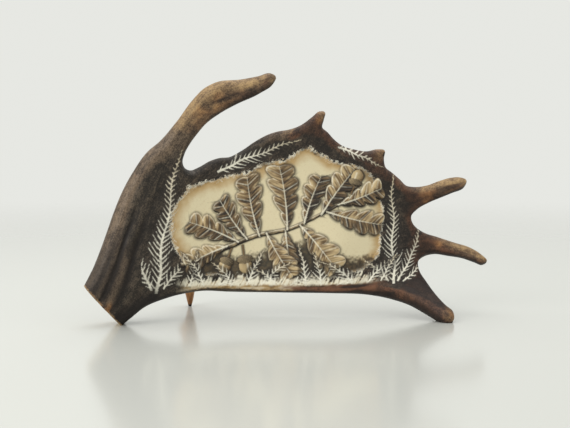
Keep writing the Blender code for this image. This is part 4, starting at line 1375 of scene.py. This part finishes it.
class AntlerTints(bpy.types.PropertyGroup):
    """Colours of the antler's finishes."""
    skin_dark: tint("Skin, dark", "Grey brown skin in the grooves", (56, 45, 37))
    skin_light: tint("Skin, light", "Grey brown skin on the ridges", (128, 109, 89))
    # Red brown, also the painted shade under the brow tine
    red_dark: tint("Tine, dark", "Red brown tines in the grooves", (48, 34, 28))
    red_light: tint("Tine, light", "Red brown tines where they are rubbed", (118, 80, 58))
    # Tip colours, also the painted highlight on upper sides and along the palm's rim
    tip_brown: tint("Tip, brown", "Rubbed parts in the grooves", (106, 82, 60))
    tip_tan: tint("Tip, tan", "Rubbed parts of the tines", (176, 146, 102))
    # Painted shade on undersides and the palm's rim, and the darker tines, roots, grooves, veins and heel
    edge_dark: tint("Edge", "Soot dark undersides and rims", (26, 20, 18))
    charcoal: tint("Charcoal", "Stained margin of the carving", (35, 31, 27))
    charcoal_light: tint("Charcoal, light", "Stained margin where it is thin", (94, 82, 69))
    field_cream: tint("Field, cream", "Pale ground in the middle of the carving", (226, 213, 178))
    field_tan: tint("Field, tan", "Ground near the edge of the carving", (184, 150, 98))
    fern: tint("Fern", "Pale lines of the ferns", (240, 235, 218))
    # Painted shadow round the carving's leaves, twig, acorns and fronds
    shadow: tint("Cut line", "Dark cut round each leaf", (44, 39, 36))
    leaf_dark: tint("Leaf, dark", "Leaf in shade", (50, 42, 36))
    leaf_mid: tint("Leaf, middle", "Leaf in half light", (122, 99, 70))
    leaf_light: tint("Leaf, light", "Leaf in light", (204, 180, 138))
    # Painted highlights of the carving, and the pale paint of its bank
    highlight: tint("Highlight", "Scraped highlights", (243, 236, 214))
    nut_dark: tint("Nut, dark", "Shaded side of an acorn", (104, 78, 50))
    nut_light: tint("Nut, light", "Lit side of an acorn", (222, 198, 152))
    bone: tint("Sawn bone", "Dense bone in the saw cut", (214, 200, 170))
    orange_dark: tint("Orange horn, dark", "Polished orange brown horn in the grooves", (128, 84, 48))
    orange_light: tint("Orange horn, light", "Polished orange brown horn", (198, 144, 88))


class AntlerStage(bpy.types.PropertyGroup):
    """Floor, light and camera."""
    floor_colour: tint("Floor", "Colour of the plain floor", (204, 205, 200))
    floor_radius: amount("Floor radius", "Size of the round floor", 2.7, 1.0, unit="LENGTH")
    camera_distance: amount("Camera distance", "Level distance to the front feet", 1.0406, 0.3, unit="LENGTH")
    camera_height: amount("Camera height", "Height over the floor", 0.185, unit="LENGTH")
    camera_pitch: amount("Camera pitch", "How far the camera looks down", math.atan(0.0676), subtype="ANGLE")
    camera_lens: amount("Lens", "Focal length on a 36 mm wide sensor", 63.158, 10.0, unit="CAMERA")
    key_power: amount("Overhead light", "Power of the large light overhead", 9.0, unit="POWER")
    fill_power: amount("Left light", "Power of the light from the upper left", 9.0, unit="POWER")
    sky_colour: tint("Surround", "Colour of the light from all round", (236, 237, 232))
    sky_strength: amount("Surround strength", "Strength of the light from all round", 0.95)


class ANTLER_OT_limbs(bpy.types.Operator):
    """Grows the beam, the palm with its carving, and the front tines as one skin parted at the forks"""
    bl_idname = "antler.limbs"
    bl_label = "Grow Limbs"

    def execute(self, context):
        tints = named_colours(context.scene.antler_tints)
        skin = Skin(tints)
        bone = sawn_bone_material(tints)
        slots = dict.fromkeys(slot for limb, slot in PIECES.values())
        finishes = {slot: antler_material(slot + "_finish", tints) for slot in slots}
        for name, (limb, slot) in PIECES.items():
            mesh = skin.limb_mesh(name, limb)
            if limb == "beam":
                cut_flat(mesh, *saw_plane(), material=1, rings=SAW_RINGS)
            if limb in ("beam", "lower_tine"):
                cut_flat(mesh, point=(0, 0, 0), normal=(0, 0, -1), material=0)
            set_normals(mesh)
            add_piece(mesh, limb, slot, (finishes[slot], bone))
        return {"FINISHED"}


class ANTLER_OT_rear_tine(bpy.types.Operator):
    """Grows the rear tine from the back of the palm down to its foot"""
    bl_idname = "antler.rear_tine"
    bl_label = "Grow Rear Tine"

    def execute(self, context):
        finish = rear_tine_material(named_colours(context.scene.antler_tints))
        add_piece(rear_tine_mesh(), "rear_tine", "orange_brown_antler", (finish,))
        return {"FINISHED"}


class ANTLER_OT_stage(bpy.types.Operator):
    """Adds the plain floor, the soft lights and the camera"""
    bl_idname = "antler.stage"
    bl_label = "Add Stage"

    def execute(self, context):
        scene = context.scene
        stage = scene.antler_stage
        floor = place_object("floor", floor_mesh(stage.floor_radius))
        floor.data.materials.append(floor_material(tuple(stage.floor_colour)))
        scene.world = bpy.data.worlds.new("surround")
        scene.world.use_nodes = True
        background = scene.world.node_tree.nodes["Background"]
        background.inputs["Color"].default_value = (*stage.sky_colour, 1)
        background.inputs["Strength"].default_value = stage.sky_strength
        for name, (place, target, size, power, colour) in LAMPS.items():
            lamp = bpy.data.lights.new(name, "AREA")
            lamp.size, lamp.energy, lamp.color = size, getattr(stage, power), colour
            thing = place_object(name, lamp)
            thing.location = place
            thing.rotation_euler = (Vector(target) - Vector(place)).to_track_quat("-Z", "Y").to_euler()
        scene.view_settings.view_transform = "Standard"
        lens = bpy.data.cameras.new("camera")
        lens.lens, lens.sensor_width = stage.camera_lens, SENSOR_WIDTH
        scene.camera = place_object("camera", lens)
        scene.camera.location = (CAMERA_X * MM, -stage.camera_distance - ORIGIN[1] * MM, stage.camera_height)
        scene.camera.rotation_euler = (math.pi / 2 - stage.camera_pitch, 0, 0)
        return {"FINISHED"}


class ANTLER_PT_panel(bpy.types.Panel):
    """Lists the antler's settings and its pieces"""
    bl_idname = "ANTLER_PT_panel"
    bl_label = "Carved Antler"
    bl_space_type = "VIEW_3D"
    bl_region_type = "UI"
    bl_category = "Antler"

    def draw(self, context):
        for group in (context.scene.antler_tints, context.scene.antler_stage):
            box = self.layout.box()
            for name in group.__annotations__:
                box.prop(group, name)
        for operator in (ANTLER_OT_limbs, ANTLER_OT_rear_tine, ANTLER_OT_stage):
            self.layout.operator(operator.bl_idname)


CLASSES = (AntlerTints, AntlerStage, ANTLER_OT_limbs, ANTLER_OT_rear_tine, ANTLER_OT_stage, ANTLER_PT_panel)


def register():
    """Adds the settings, the operators and the panel to Blender."""
    for item in CLASSES:
        bpy.utils.register_class(item)
    bpy.types.Scene.antler_tints = PointerProperty(type=AntlerTints)
    bpy.types.Scene.antler_stage = PointerProperty(type=AntlerStage)


def unregister():
    """Takes them out again."""
    del bpy.types.Scene.antler_stage
    del bpy.types.Scene.antler_tints
    for item in reversed(CLASSES):
        bpy.utils.unregister_class(item)


def main():
    """Builds every piece in order."""
    register()
    bpy.ops.antler.stage()
    bpy.ops.antler.limbs()
    bpy.ops.antler.rear_tine()


if __name__ == "__main__":
    main()
